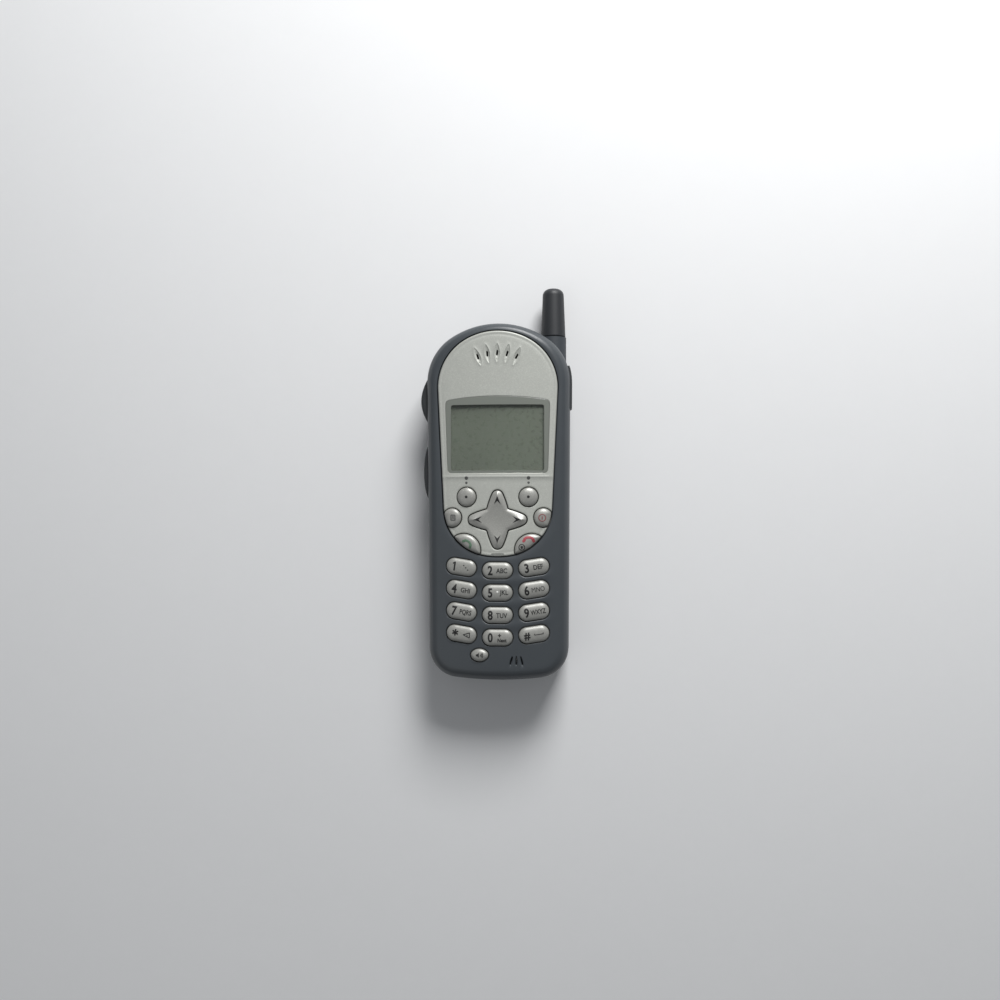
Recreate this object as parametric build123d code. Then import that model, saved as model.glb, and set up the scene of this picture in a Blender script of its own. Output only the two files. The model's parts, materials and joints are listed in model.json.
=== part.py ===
"""Bar-shaped push-to-talk mobile phone, as an assembly of its separate pieces.

Frame: the phone lies on its back. +Z is out of the face, +Y is towards the earpiece, +X is the
right-hand side of somebody reading the display. The origin is on the flat back, under the middle
of the case. All sizes are in millimetres.
"""

from build123d import *
import os
from math import acos, atan2, cos, degrees, radians, sin, sqrt, tan

os.makedirs("parts", exist_ok=True)

# Case, in plan
CASE_TOP = 65.2            # from the centre of the case to its top end
CASE_FOOT = -65.2
CASE_TOP_RADIUS = 33.0     # the wide arc over the earpiece
CASE_SHOULDER_RADIUS = 19.0
CASE_HALF_WIDTH_TOP = 26.4
CASE_HALF_WIDTH_FOOT = 25.6
CASE_CORNER_RADIUS = 11.0
CASE_FOOT_RADIUS = 150.0

# Case, in height
SPLIT_HEIGHT = 12.6        # parting line between the rear and the front housing
SEAM = 0.15                # open seam along the parting line
CROWN_HEIGHT = 25.6        # height of the front surface on the centre line
CROWN_PLACE = 20.0         # where along the phone that height is measured
CROWN_FALL = 1.5           # degrees by which the front falls towards the foot
CROWN_RADIUS = 130.0       # roundness across the phone
FRONT_EDGE_RADIUS = 4.2
BACK_EDGE_RADIUS = 7.0
WALL = 1.7
BACK_WALL = 1.6
KEYPAD_PANEL = 1.8         # thickness of the front housing over the number keys

# Face plate
FACE_TOP = 62.0
FACE_FOOT = -20.1
FACE_TOP_RADIUS = 24.0
FACE_SHOULDER_RADIUS = 20.0
FACE_HALF_WIDTH_TOP = 21.9
FACE_HALF_WIDTH_FOOT = 19.8
FACE_CORNER_RADIUS = 18.0
FACE_FOOT_RADIUS = 30.0
FACE_DROP = 0.2            # the plate lies this far below the crown
FACE_THICKNESS = 1.6
FACE_GAP = 0.45            # dark ring between the plate and the frame
FACE_EDGE_ROUND = 0.7
FOOT_NOTCH = (4.4, 0.95, 0.35)   # width, length and depth of the notch at the plate's foot
GLUE = 0.05                # adhesive film under the plate and the lens
SHELF = 1.3                # web of the front housing under the plate
SHELF_MARGIN = 1.2         # how far the web reaches past the plate

# Display
LENS_TOP = 36.7
LENS_ARCH = 38.2
LENS_FOOT = 10.2
LENS_HALF_TOP = 19.1
LENS_HALF_FOOT = 18.3
LENS_CORNER = 1.5
LENS_THICKNESS = 1.1
LENS_GAP = 0.12
WINDOW_WIDTH = 34.0
WINDOW_LENGTH = 24.0
WINDOW_PLACE = 23.1
WINDOW_CORNER = 0.8
WINDOW_MARGIN = 0.5        # the openings behind the lens are this much larger
LCD_WIDTH = 38.0
LCD_LENGTH = 29.0
LCD_THICKNESS = 1.8
LCD_HEIGHT = 19.9          # the panel reaches up through the web, close under the plate
LCD_PLAY = 0.2
LCD_OPENING_GAP = 0.4      # round the panel, in the web
HOLDER_BORDER = (1.75, 2.0)    # of the tray, beside and beyond the panel
HOLDER_RISE = 0.3          # how far the tray stands up round the panel
GASKET_WIDTH = 1.5
GASKET_SET_BACK = 0.2      # from the edge of the opening behind the lens
GASKET_PLAY = 0.1          # between the gasket and the web's opening round the panel

# Earpiece petals: a fan of boat-shaped scoops, each with a slot
PETAL_COUNT = 5
PETAL_LENGTH = 6.6
PETAL_WIDTH = 2.0
PETAL_DEPTH = 0.75
PETAL_FAN_RADIUS = 19.0    # the fan's centre lies this far below the middle petal
PETAL_STEP = 11.0          # degrees from one petal to the next
PETAL_PLACE = 54.0
EARPIECE_PLACE = 52.4
SOUND_OPENING = (19.0, 4.4)
PETAL_OVERRUN = 1.25       # the scoop's arc is this much longer than the petal
SLOT_WIDTH = 0.9
SLOT_LENGTH = 2.2
FELT_SIZE = (21.0, 7.0)
FELT_THICKNESS = 0.4
EARPIECE_RADIUS = 5.6
EARPIECE_DEPTH = 2.4
EARPIECE_FOOT_RADIUS = 3.6

# Keys in general
KEY_GAP = 0.32
KEY_TRAVEL = 0.5
KEY_PROUD = 1.15
KEY_ROUND = 1.4
FACE_KEY_ROUND = 0.75
KEY_FLANGE = 0.6
KEY_RELIEF = 0.2           # play above a flange
PLUNGER_RADIUS = 1.2
PLUNGER_HOLE_GAP = 0.3

# Number keys
KEY_LENGTH = 11.0
KEY_WIDTH = 5.9
COLUMN_PITCH = 13.2
ROW_PITCH = 8.1
FIRST_ROW = -25.2          # centre column
SIDE_COLUMN_LIFT = 1.2     # the outer columns stand this much nearer the face
SIDE_COLUMN_TILT = 9.0

# Keys on the face plate
SOFT_KEY_RADIUS = 3.4
SOFT_KEY_PLACE = (11.3, 1.5)
MENU_KEY_RADIUS = 3.4
MENU_KEY_PLACE = (16.65, -6.0)
CALL_KEY_RADIUS = 6.1
CALL_KEY_PLACE = (12.35, -18.0)
EDGE_KEY_INSET = 0.1       # keys cut by the plate's edge stand this far inside it
NAV_PLACE = -6.75
NAV_REACH = 10.6
NAV_NOTCH = 3.7
NAV_TIP_RADIUS = 1.9
NAV_TIP_ANGLE = 65.0       # half the turn of a lobe's tip
NAV_GAP = 0.42
NAV_NOTCH_ROUND = 0.8
NAV_PROUD = 1.0
NAV_ROUND = 0.9
NAV_FLANGE_DROP = 1.0      # room for the flange to rise when the key tilts
NAV_FLANGE_HEIGHT = 19.9   # underside of the four-way key
NAV_PLUNGER_PLACE = 7.6
NAV_PIVOT_HEIGHT = 20.5
NAV_PIVOT_RADIUS = 2.2
NAV_PIVOT_GAP = 0.15
NAV_SOCKET_HEIGHT = 20.9
NAV_PLUNGER_RADIUS = 1.0
NAV_PLUNGER_END = 18.2
NAV_DISH_RADIUS = 16.0
NAV_DISH_DEPTH = 0.55
SPEAKER_KEY_SIZE = (6.4, 4.6)
SPEAKER_KEY_PLACE = (-6.6, -55.9)
OVAL_END_SHARE = 0.72      # end radius of an oval, as a share of half its width

# Boards and keypad layers
BOARD_INSET = 4.2
BOARD_HEIGHT = 15.9
BOARD_THICKNESS = 1.0
DOME_SHEET = 0.25
DOME_RADIUS = 2.1
DOME_RISE = 0.3
MAT_HEIGHT = 17.6
MAT_THICKNESS = 1.0
MAT_TOP_END = 5.4
KEYPAD_TOP_END = -12.0     # the thin keypad panel starts here
FLANGE_HEIGHT = 19.2       # underside of the number key flanges
FACE_FLANGE_HEIGHT = 20.2  # underside of the face key flanges
PLUNGER_END = 18.1
LAYER_GAP = 0.05

# Microphone
MIC_PLACE = (6.8, -57.9)
MIC_RADIUS = 2.9
MIC_HEIGHT = 2.3
MIC_BOOT_WALL = 0.7
MIC_SLOT = (0.6, 3.2)
MIC_SLOT_PITCH = 1.9
MIC_SLOT_SLANT = 14.0
MIC_PORT_RADIUS = 1.2
MIC_CLEARANCE = 0.3

# Side keys
SIDE_KEY_LOW = SPLIT_HEIGHT + 0.15
SIDE_KEY_HIGH = 18.75
SIDE_KEY_GAP = 0.3
SIDE_KEY_FLANGE = 0.9
SIDE_FLANGE_PLAY = 0.55
SIDE_FLANGE_REACH = 1.2    # past either end of the key
SIDE_FLANGE_ROOM = 0.6     # kept free by the layers of the keypad, round a side key's flange
SIDE_KEY_ROUND = 1.2
SIDE_KEY_SHOULDER = 0.4    # the swell starts this far below the case side
SIDE_HOLE_REACH = 3.0
ROCKER_ENDS = (28.2, 47.0)
ROCKER_PEAK = 36.6
ROCKER_PROUD = 2.9
TALK_ENDS = (0.4, 22.0)
TALK_PEAK = 11.3
TALK_PROUD = 1.8
TALK_TRAVEL = 0.7
SWITCH_SIZE = (3.0, 4.0, 2.4)
SWITCH_PLAY = 0.15

# Headset jack, on the right-hand side
JACK_PLACE = 44.0
JACK_HEIGHT = 16.3
JACK_BORE_RADIUS = 1.27
JACK_BODY = (11.6, 5.4, 5.2)
JACK_WALL_GAP = 0.3
JACK_NOSE_RADIUS = 2.2     # the nose of the socket fills the port in the case side
JACK_NOSE_SET_BACK = 0.2
JACK_NOTCH_GAP = 0.3       # between the socket and the cut-out of the board
JACK_DEPTH = 10.5
JACK_PORT_RADIUS = 2.4
JACK_PORT_START = 20.0
FLAP_ENDS = (34.0, 50.0)
FLAP_HEIGHTS = (13.6, 19.0)
FLAP_PROUD = 0.75
FLAP_SUNK = 0.75
FLAP_GAP = 0.25
FLAP_BEND_FLAT = 0.05      # what the rounding of the flap's bent end leaves flat

# Antenna
ANTENNA_PLACE = CASE_HALF_WIDTH_TOP - 6.4
ANTENNA_HEIGHT = 7.6
WHIP_RADIUS = 1.0
WHIP_END = -12.0
WHIP_STOP_RADIUS = 1.35
WHIP_STOP_LENGTH = 3.0
WHIP_SEAT = 6.0            # how deep the whip sits in its cap
WHIP_BORE_RADIUS = 1.55
BOSS_RADIUS = 4.85
BOSS_ENDS = (44.0, 62.2)
BUSHING_RADIUS = 2.9
BUSHING_LENGTH = 8.0
RUNNING = 0.08             # radial play of the whip in its bushing
CAP_RADIUS = 4.6
CAP_TIP_RADIUS = 3.9
CAP_LENGTH = 18.5
CAP_ROUND = 2.6
CAP_FOOT_ROUND = 0.5
TUNNEL_END = -15.0
TUNNEL_HALF = 2.7
TUNNEL_FLOOR = 0.3         # taken off the underside, towards the battery cover

# Rear housing, battery and its cover
COVER_TOP = 24.0
COVER_SEAM_HEIGHT = 7.0
COVER_GAP = 0.2
TRAY_HEIGHT = 10.9
TRAY_THICKNESS = 1.4
BAY_WALL = 1.6
BATTERY_WIDTH = 33.6
BATTERY_LENGTH = 56.0
BATTERY_TOP_END = 18.2
BATTERY_BOTTOM = 2.1
BATTERY_PLAY = 0.3
BATTERY_ROUND = 1.8
GRIP_GROOVES = 5           # thumb grooves across the outside of the cover
GRIP_PLACE = 12.0
GRIP_PITCH = 2.0
GRIP_LENGTH = 20.0
GRIP_WIDTH = 0.9
GRIP_DEPTH = 0.45
TAB_PLACES = (8.0, -16.0, -40.0)
TAB_WIDTH = 6.0
TAB_THICKNESS = 0.9
TAB_WALL_GAP = 0.5         # between a tab and the wall it guides along
TAB_FOOT = 4.5             # height at which a tab leaves the cover's side
TAB_RISE = 1.4             # above the seam
LATCH_PLACE = 28.4
LATCH_BUTTON = (9.4, 3.8)
LATCH_FLANGE_WIDTH = 12.6
LATCH_FLANGE_MARGIN = 0.8  # past the upper edge of the button
LATCH_TONGUE_WIDTH = 6.0
LATCH_TONGUE_REACH = 0.6   # over the edge of the cover
LATCH_THICKNESS = 1.0
LATCH_LIFT = 0.15          # above the inside of the back wall
LATCH_SUNK = 0.25          # button below the back face
LATCH_TRAVEL = 1.5
LATCH_GAP = 0.25
SIM_CARD = (25.0, 15.0, 0.8)
SIM_HOLDER = (28.4, 16.6, 1.7)
SIM_GAP = 1.7              # between the battery and the holder
SIM_PLACE = BATTERY_TOP_END - BATTERY_LENGTH - SIM_GAP - SIM_HOLDER[1] / 2
SIM_PLAY = 0.2
SIM_ROOF = 0.3
SIM_WINDOW_MARGIN = (3.0, 2.0)
CONTACT_BLOCK = (14.0, 5.0)    # width, and height of its underside
CONTACT_PLACES = (-5.0, -1.7, 1.7, 5.0)
CONTACT_WIDTH = 1.2
CONTACT_HEIGHTS = (6.0, 9.0)
CONTACT_SPRING = 0.7       # how far a contact stands out of its block
CONTACT_PLAY = 0.2         # between a contact and the battery

# Back-side parts
SPEAKER_PLACE = (-6.5, 45.0)
SPEAKER_RADIUS = 8.5
SPEAKER_HEIGHT = 4.0
SPEAKER_SEAT = 0.25
GRILLE_SLOT = (1.1, 9.0)
GRILLE_PITCH = 2.6
GRILLE_COUNT = 5
GRILLE_SHORTENING = 0.55   # slots shorten by this share of their distance from the middle
MOTOR_PLACE = (8.5, 38.5)
MOTOR_HEIGHT = 6.0
MOTOR_RADIUS = 2.2
MOTOR_LENGTH = 9.0
CRADLE_HALF = 2.6
CRADLE_SET_BACK = 1.0      # from either end of the motor
CRADLE_DROP = 0.8          # its rim lies this far below the shaft
CRADLE_PLAY = 0.05
WEIGHT_RADIUS = 2.7
WEIGHT_LENGTH = 3.0
WEIGHT_PLAY = 0.3
WEIGHT_HUB_RADIUS = 0.9

# Accessory connector at the foot
CONNECTOR_WIDTH = 19.0
CONNECTOR_DEPTH = 6.5
CONNECTOR_HEIGHTS = (SPLIT_HEIGHT + 0.15, 15.8)
CONNECTOR_GAP = 0.2
SOCKET_SIZE = (16.0, 1.4)
SOCKET_DEPTH = 4.5
CONNECTOR_SET_BACK = 0.5

# Screws: the upper two go in from the back, the lower two from the battery bay
UPPER_SCREWS = [(-17.6, CASE_TOP - 13.7), (8.4, CASE_TOP - 7.0)]
LOWER_SCREW_INSET = (4.8, 11.7)    # from the side and the foot of the case
LOWER_SCREWS = [(side * (CASE_HALF_WIDTH_FOOT - LOWER_SCREW_INSET[0]), CASE_FOOT + LOWER_SCREW_INSET[1])
                for side in (-1, 1)]
SCREW_RADIUS = 0.9
SCREW_HEAD_RADIUS = 1.8
SCREW_HEAD = 1.2
SCREW_TOP = 17.5
SCREW_PLAY = 0.1
BOSS_WALL = 1.4
BOSS_CLEARANCE = 0.25
PILLAR_WALL = 1.2          # round the heads of the upper screws
SCREW_HEAD_PLAY = 0.2
SCREW_TIP_ROOM = 0.5
UPPER_SEAT = 3.2

# Parts on the back of the board
CAN_DEPTH = 2.8
UPPER_CAN = ((-16.0, 14.0), (26.0, 40.0))
LOWER_CAN = ((-19.0, 19.0), (-38.0, 6.0))
CELL_PLACE = (-14.0, 14.0)
CELL_RADIUS = 3.4
CELL_DEPTH = 2.2

FAR = 40.0                 # reaches past the case in any direction of height
RIM_TOLERANCE = 0.02


def save(shape, name):
    """Write one node."""
    export_step(shape, f"parts/{name}.step")


def arch(top, top_radius, shoulder_radius, half_top, foot, foot_radius, corner_radius, half_foot):
    """Closed outline: a wide top arc, two shoulder arcs, tapered sides tangent to the arcs on
    either end, two corner arcs and a wide foot arc."""
    top_centre = Vector(0, top - top_radius)
    foot_centre = Vector(0, foot + foot_radius)
    shoulder_x = half_top - shoulder_radius
    corner_x = half_foot - corner_radius
    shoulder_rise = sqrt((top_radius - shoulder_radius) ** 2 - shoulder_x ** 2)
    corner_fall = sqrt((foot_radius - corner_radius) ** 2 - corner_x ** 2)
    shoulder = Vector(shoulder_x, top_centre.Y + shoulder_rise)
    corner = Vector(corner_x, foot_centre.Y - corner_fall)
    span = corner - shoulder
    side = atan2(span.Y, span.X) + acos((shoulder_radius - corner_radius) / span.length)
    normal = Vector(cos(side), sin(side))
    top_angle = degrees(atan2(shoulder_rise, shoulder_x))
    foot_angle = degrees(atan2(-corner_fall, corner_x))
    side_angle = degrees(side)
    right = [
        CenterArc(shoulder, shoulder_radius, side_angle, top_angle - side_angle),
        Line(shoulder + normal * shoulder_radius, corner + normal * corner_radius),
        CenterArc(corner, corner_radius, foot_angle, side_angle - foot_angle),
    ]
    ends = [
        CenterArc(top_centre, top_radius, top_angle, 180 - 2 * top_angle),
        CenterArc(foot_centre, foot_radius, 180 - foot_angle, 180 + 2 * foot_angle),
    ]
    left = [edge.mirror(Plane.YZ) for edge in right]
    return make_face(right + left + ends)


def case_outline(inset=0.0):
    """Plan of the case, moved inwards by inset."""
    plan = arch(CASE_TOP, CASE_TOP_RADIUS, CASE_SHOULDER_RADIUS, CASE_HALF_WIDTH_TOP,
                CASE_FOOT, CASE_FOOT_RADIUS, CASE_CORNER_RADIUS, CASE_HALF_WIDTH_FOOT)
    return offset(plan, amount=-inset) if inset else plan


def face_outline(grow=0.0):
    """Plan of the face plate, moved outwards by grow."""
    plan = arch(FACE_TOP, FACE_TOP_RADIUS, FACE_SHOULDER_RADIUS, FACE_HALF_WIDTH_TOP,
                FACE_FOOT, FACE_FOOT_RADIUS, FACE_CORNER_RADIUS, FACE_HALF_WIDTH_FOOT)
    return offset(plan, amount=grow) if grow else plan


def crown_height(x, y, drop=0.0):
    """Height of the front surface, sunk by drop, above the point x, y."""
    fall = radians(CROWN_FALL)
    cross = sqrt((CROWN_RADIUS - drop) ** 2 - x ** 2) - CROWN_RADIUS
    return CROWN_HEIGHT + (y - CROWN_PLACE) * tan(fall) + cross / cos(fall)


def under_crown(drop):
    """Everything under the front surface sunk by drop: a wide roll along the phone, whose axis
    falls towards the foot."""
    roll = Rot(CROWN_FALL - 90, 0, 0) * Cylinder(CROWN_RADIUS - drop, 6 * FAR)
    axis_drop = CROWN_RADIUS / cos(radians(CROWN_FALL))
    return Pos(0, CROWN_PLACE, CROWN_HEIGHT - axis_drop) * roll


def under_tangent(place, drop):
    """Everything under the plane that touches the front surface, sunk by drop, above place."""
    x, y = place
    height = crown_height(x, y, drop)
    slope_x = -x / sqrt((CROWN_RADIUS - drop) ** 2 - x ** 2)
    slope_y = tan(radians(CROWN_FALL))
    touch = Plane(origin=(x, y, height), z_dir=(-slope_x, -slope_y, 1))
    return touch * Pos(0, 0, -FAR) * Box(2 * FAR, 2 * FAR, 2 * FAR)


def column(plan, low, high):
    """A plan raised from one height to another."""
    return extrude(Pos(0, 0, low) * plan, amount=high - low)


def block(x, y, z):
    """A box given by its lowest and highest x, y and z."""
    size = (x[1] - x[0], y[1] - y[0], z[1] - z[0])
    return Pos((x[0] + x[1]) / 2, (y[0] + y[1]) / 2, (z[0] + z[1]) / 2) * Box(*size)


def disc(place, radius, low, high):
    """An upright cylinder at place, from low to high."""
    return Pos(place[0], place[1], (low + high) / 2) * Cylinder(radius, high - low)


def rod(axis_z, radius, x=None, y=None, at=0.0):
    """A cylinder along X or Y, given by the stretch it covers on that axis."""
    if x is not None:
        return Pos((x[0] + x[1]) / 2, at, axis_z) * Rot(0, 90, 0) * Cylinder(radius, x[1] - x[0])
    return Pos(at, (y[0] + y[1]) / 2, axis_z) * Rot(90, 0, 0) * Cylinder(radius, y[1] - y[0])


def top_edges(shape):
    """Edges round the highest face."""
    return shape.faces().sort_by(Axis.Z)[-1].edges()


def rim_edges(shape, outline, drop):
    """Edges that lie in the front surface sunk by drop and follow an outline."""
    wire = outline.face().outer_wire()

    def on_rim(point):
        over = abs(point.Z - crown_height(point.X, point.Y, drop)) < RIM_TOLERANCE
        return over and wire.distance_to(Vertex(point.X, point.Y, 0)) < RIM_TOLERANCE

    return [edge for edge in shape.edges() if all(on_rim(edge @ t) for t in (0, 0.5, 1))]


# ---------------------------------------------------------------- plans of the keys

def number_key_plans():
    """Name and plan of each number key: four rows of three stadium-shaped keys."""
    names = [["key_1", "key_2", "key_3"], ["key_4", "key_5", "key_6"],
             ["key_7", "key_8", "key_9"], ["key_star", "key_0", "key_hash"]]
    plans = {}
    for row, row_names in enumerate(names):
        for column_index, name in enumerate(row_names):
            side = column_index - 1
            lift = SIDE_COLUMN_LIFT if side else 0.0
            place = Pos(side * COLUMN_PITCH, FIRST_ROW - row * ROW_PITCH + lift)
            tilt = Rot(0, 0, side * SIDE_COLUMN_TILT)
            plans[name] = place * tilt * SlotOverall(KEY_LENGTH, KEY_WIDTH)
    return plans


def star_outline(grow=0.0):
    """Plan of the four-way key: four leaf-shaped lobes that meet in rounded notches."""
    tip = CenterArc((NAV_REACH - NAV_TIP_RADIUS, 0), NAV_TIP_RADIUS, -NAV_TIP_ANGLE, 2 * NAV_TIP_ANGLE)
    flank = TangentArc(tip @ 1, (NAV_NOTCH, NAV_NOTCH), tangent=tip % 1)
    lobe = [tip, flank, flank.mirror(Plane.XZ)]
    edges = [edge.rotate(Axis.Z, 90 * turn) for turn in range(4) for edge in lobe]
    star = make_face(edges)
    notches = [v for v in star.vertices() if abs(abs(v.X) - abs(v.Y)) < 0.01]
    star = fillet(notches, NAV_NOTCH_ROUND)
    star = Pos(0, NAV_PLACE) * star
    return offset(star, amount=grow) if grow else star


def oval(length, width):
    """Four-arc oval: two small end arcs that run smoothly into two wide side arcs."""
    half, rise = length / 2, width / 2
    end = OVAL_END_SHARE * rise
    side = ((half - end) ** 2 + rise ** 2 - end ** 2) / (2 * (rise - end))
    swing = degrees(atan2(side - rise, half - end))
    ends = [CenterArc((half - end, 0), end, -swing, 2 * swing),
            CenterArc((end - half, 0), end, 180 - swing, 2 * swing)]
    sides = [CenterArc((0, rise - side), side, swing, 180 - 2 * swing),
             CenterArc((0, side - rise), side, 180 + swing, 180 - 2 * swing)]
    return make_face(ends + sides)


def edge_key(place, radius):
    """A round key plan cut off by the edge of the face plate."""
    return (Pos(*place) * Circle(radius)) & face_outline(-EDGE_KEY_INSET)


def mirrored(place):
    return (-place[0], place[1])


FACE_KEYS = {
    "soft_key_left": Pos(*mirrored(SOFT_KEY_PLACE)) * Circle(SOFT_KEY_RADIUS),
    "soft_key_right": Pos(*SOFT_KEY_PLACE) * Circle(SOFT_KEY_RADIUS),
    "menu_key": edge_key(mirrored(MENU_KEY_PLACE), MENU_KEY_RADIUS),
    "power_key": edge_key(MENU_KEY_PLACE, MENU_KEY_RADIUS),
    "send_key": edge_key(mirrored(CALL_KEY_PLACE), CALL_KEY_RADIUS),
    "end_key": edge_key(CALL_KEY_PLACE, CALL_KEY_RADIUS),
}
NUMBER_KEYS = number_key_plans()
SPEAKER_KEY = Pos(*SPEAKER_KEY_PLACE) * oval(*SPEAKER_KEY_SIZE)
PANEL_KEYS = {**NUMBER_KEYS, "speaker_key": SPEAKER_KEY}

SHELF_TOP = FACE_DROP + FACE_THICKNESS + GLUE
SHELF_UNDER = SHELF_TOP + SHELF
BOARD_TOP = BOARD_HEIGHT + BOARD_THICKNESS
NAV_PLUNGERS = [(0, NAV_PLACE + NAV_PLUNGER_PLACE), (0, NAV_PLACE - NAV_PLUNGER_PLACE),
                (-NAV_PLUNGER_PLACE, NAV_PLACE), (NAV_PLUNGER_PLACE, NAV_PLACE)]


def key_centre(plan):
    centre = plan.center()
    return (centre.X, centre.Y)


def plunger_places():
    places = [key_centre(plan) for plan in [*FACE_KEYS.values(), *PANEL_KEYS.values()]]
    return places + NAV_PLUNGERS


# ---------------------------------------------------------------- front pieces

def lens_outline(grow=0.0):
    """Plan of the display lens: straight foot, leaning sides and an arched top."""
    plan = make_face([
        Line((-LENS_HALF_FOOT, LENS_FOOT), (LENS_HALF_FOOT, LENS_FOOT)),
        Line((LENS_HALF_FOOT, LENS_FOOT), (LENS_HALF_TOP, LENS_TOP)),
        ThreePointArc((LENS_HALF_TOP, LENS_TOP), (0, LENS_ARCH), (-LENS_HALF_TOP, LENS_TOP)),
        Line((-LENS_HALF_TOP, LENS_TOP), (-LENS_HALF_FOOT, LENS_FOOT)),
    ])
    plan = fillet(plan.vertices(), LENS_CORNER)
    return offset(plan, amount=grow) if grow else plan


def window_outline(grow=0.0):
    plan = RectangleRounded(WINDOW_WIDTH + 2 * grow, WINDOW_LENGTH + 2 * grow, WINDOW_CORNER + grow)
    return Pos(0, WINDOW_PLACE) * plan


def petal_places():
    """Where each petal stands on its fan, and how far it leans."""
    places = []
    for index in range(PETAL_COUNT):
        lean = (PETAL_COUNT // 2 - index) * PETAL_STEP
        x = -PETAL_FAN_RADIUS * sin(radians(lean))
        y = PETAL_PLACE - PETAL_FAN_RADIUS * (1 - cos(radians(lean)))
        places.append((x, y, lean))
    return places


def petal_scoop(x, y, lean):
    """A pointed boat shape, an arc turned about its own chord, sunk into the plate."""
    half = PETAL_LENGTH / 2
    belly = (PETAL_WIDTH / 2) ** 2 / (2 * PETAL_DEPTH) + PETAL_DEPTH / 2
    sink = belly - PETAL_DEPTH
    tip = half * PETAL_OVERRUN
    outline = make_face([ThreePointArc((0, -tip), (belly, 0), (0, tip)), Line((0, tip), (0, -tip))])
    boat = revolve(outline, Axis.Y)
    return Pos(x, y, crown_height(x, y, FACE_DROP) + sink) * Rot(0, 0, lean) * boat


def slot_plan(width, length, x, y, lean):
    return Pos(x, y) * Rot(0, 0, lean) * SlotOverall(length, width, rotation=90)


def grown(plans, grow):
    """Several plans, each moved outwards by grow, as one plan."""
    return Sketch() + [offset(plan, amount=grow) for plan in plans]


def make_face_plate():
    """Silver plate: window, petal scoops with their slots, and an opening for each key."""
    plan = face_outline() - window_outline(WINDOW_MARGIN)
    plan -= grown(FACE_KEYS.values(), KEY_GAP)
    plan -= star_outline(NAV_GAP)
    for x, y, lean in petal_places():
        plan -= slot_plan(SLOT_WIDTH, SLOT_LENGTH, x, y, lean)
    plate = column(plan, SPLIT_HEIGHT, FAR) & under_crown(FACE_DROP)
    plate -= under_crown(FACE_DROP + FACE_THICKNESS)
    lens_seat = column(lens_outline(LENS_GAP), SPLIT_HEIGHT, FAR)
    plate -= lens_seat - under_crown(FACE_DROP + LENS_THICKNESS + GLUE)
    for x, y, lean in petal_places():
        plate -= petal_scoop(x, y, lean)
    plate = fillet(rim_edges(plate, face_outline(), FACE_DROP), FACE_EDGE_ROUND)
    width, length, depth = FOOT_NOTCH
    notch = block((-width / 2, width / 2), (FACE_FOOT - 1, FACE_FOOT + length), (SPLIT_HEIGHT, FAR))
    return plate - (notch - under_crown(FACE_DROP + depth))


def make_display_lens():
    lens = column(lens_outline(), SPLIT_HEIGHT, FAR) & under_crown(FACE_DROP)
    return lens - under_crown(FACE_DROP + LENS_THICKNESS)


def side_band(outer, inner, ends, heights, side):
    """A strip of the case side between two offsets of its outline."""
    strip = column(case_outline(-outer) - case_outline(inner), heights[0], heights[1])
    reach = (0, FAR) if side > 0 else (-FAR, 0)
    return strip & block(reach, ends, heights)


def side_key_hole(ends):
    """The opening of a side key through the left-hand wall, open at the parting line."""
    span = (ends[0] - SIDE_KEY_GAP, ends[1] + SIDE_KEY_GAP)
    return block((-FAR, -CASE_HALF_WIDTH_FOOT + WALL + SIDE_HOLE_REACH), span,
                 (0, SIDE_KEY_HIGH + SIDE_KEY_GAP))


def panel_opening(inset=0.0):
    """Plan of the opening in the web round the display panel, moved inwards by inset."""
    margin = LCD_OPENING_GAP - inset
    return Pos(0, WINDOW_PLACE) * Rectangle(LCD_WIDTH + 2 * margin, LCD_LENGTH + 2 * margin)


def front_openings():
    """Everything that is open right through the front housing, as one plan."""
    plan = grown([*FACE_KEYS.values(), *PANEL_KEYS.values()], KEY_GAP)
    plan += star_outline(NAV_GAP)
    plan += panel_opening()
    plan += Pos(0, EARPIECE_PLACE) * SlotOverall(SOUND_OPENING[0], SOUND_OPENING[1])
    for index in (-1, 0, 1):
        x = MIC_PLACE[0] + index * MIC_SLOT_PITCH
        plan += slot_plan(MIC_SLOT[0], MIC_SLOT[1], x, MIC_PLACE[1], -index * MIC_SLOT_SLANT)
    return plan


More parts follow.
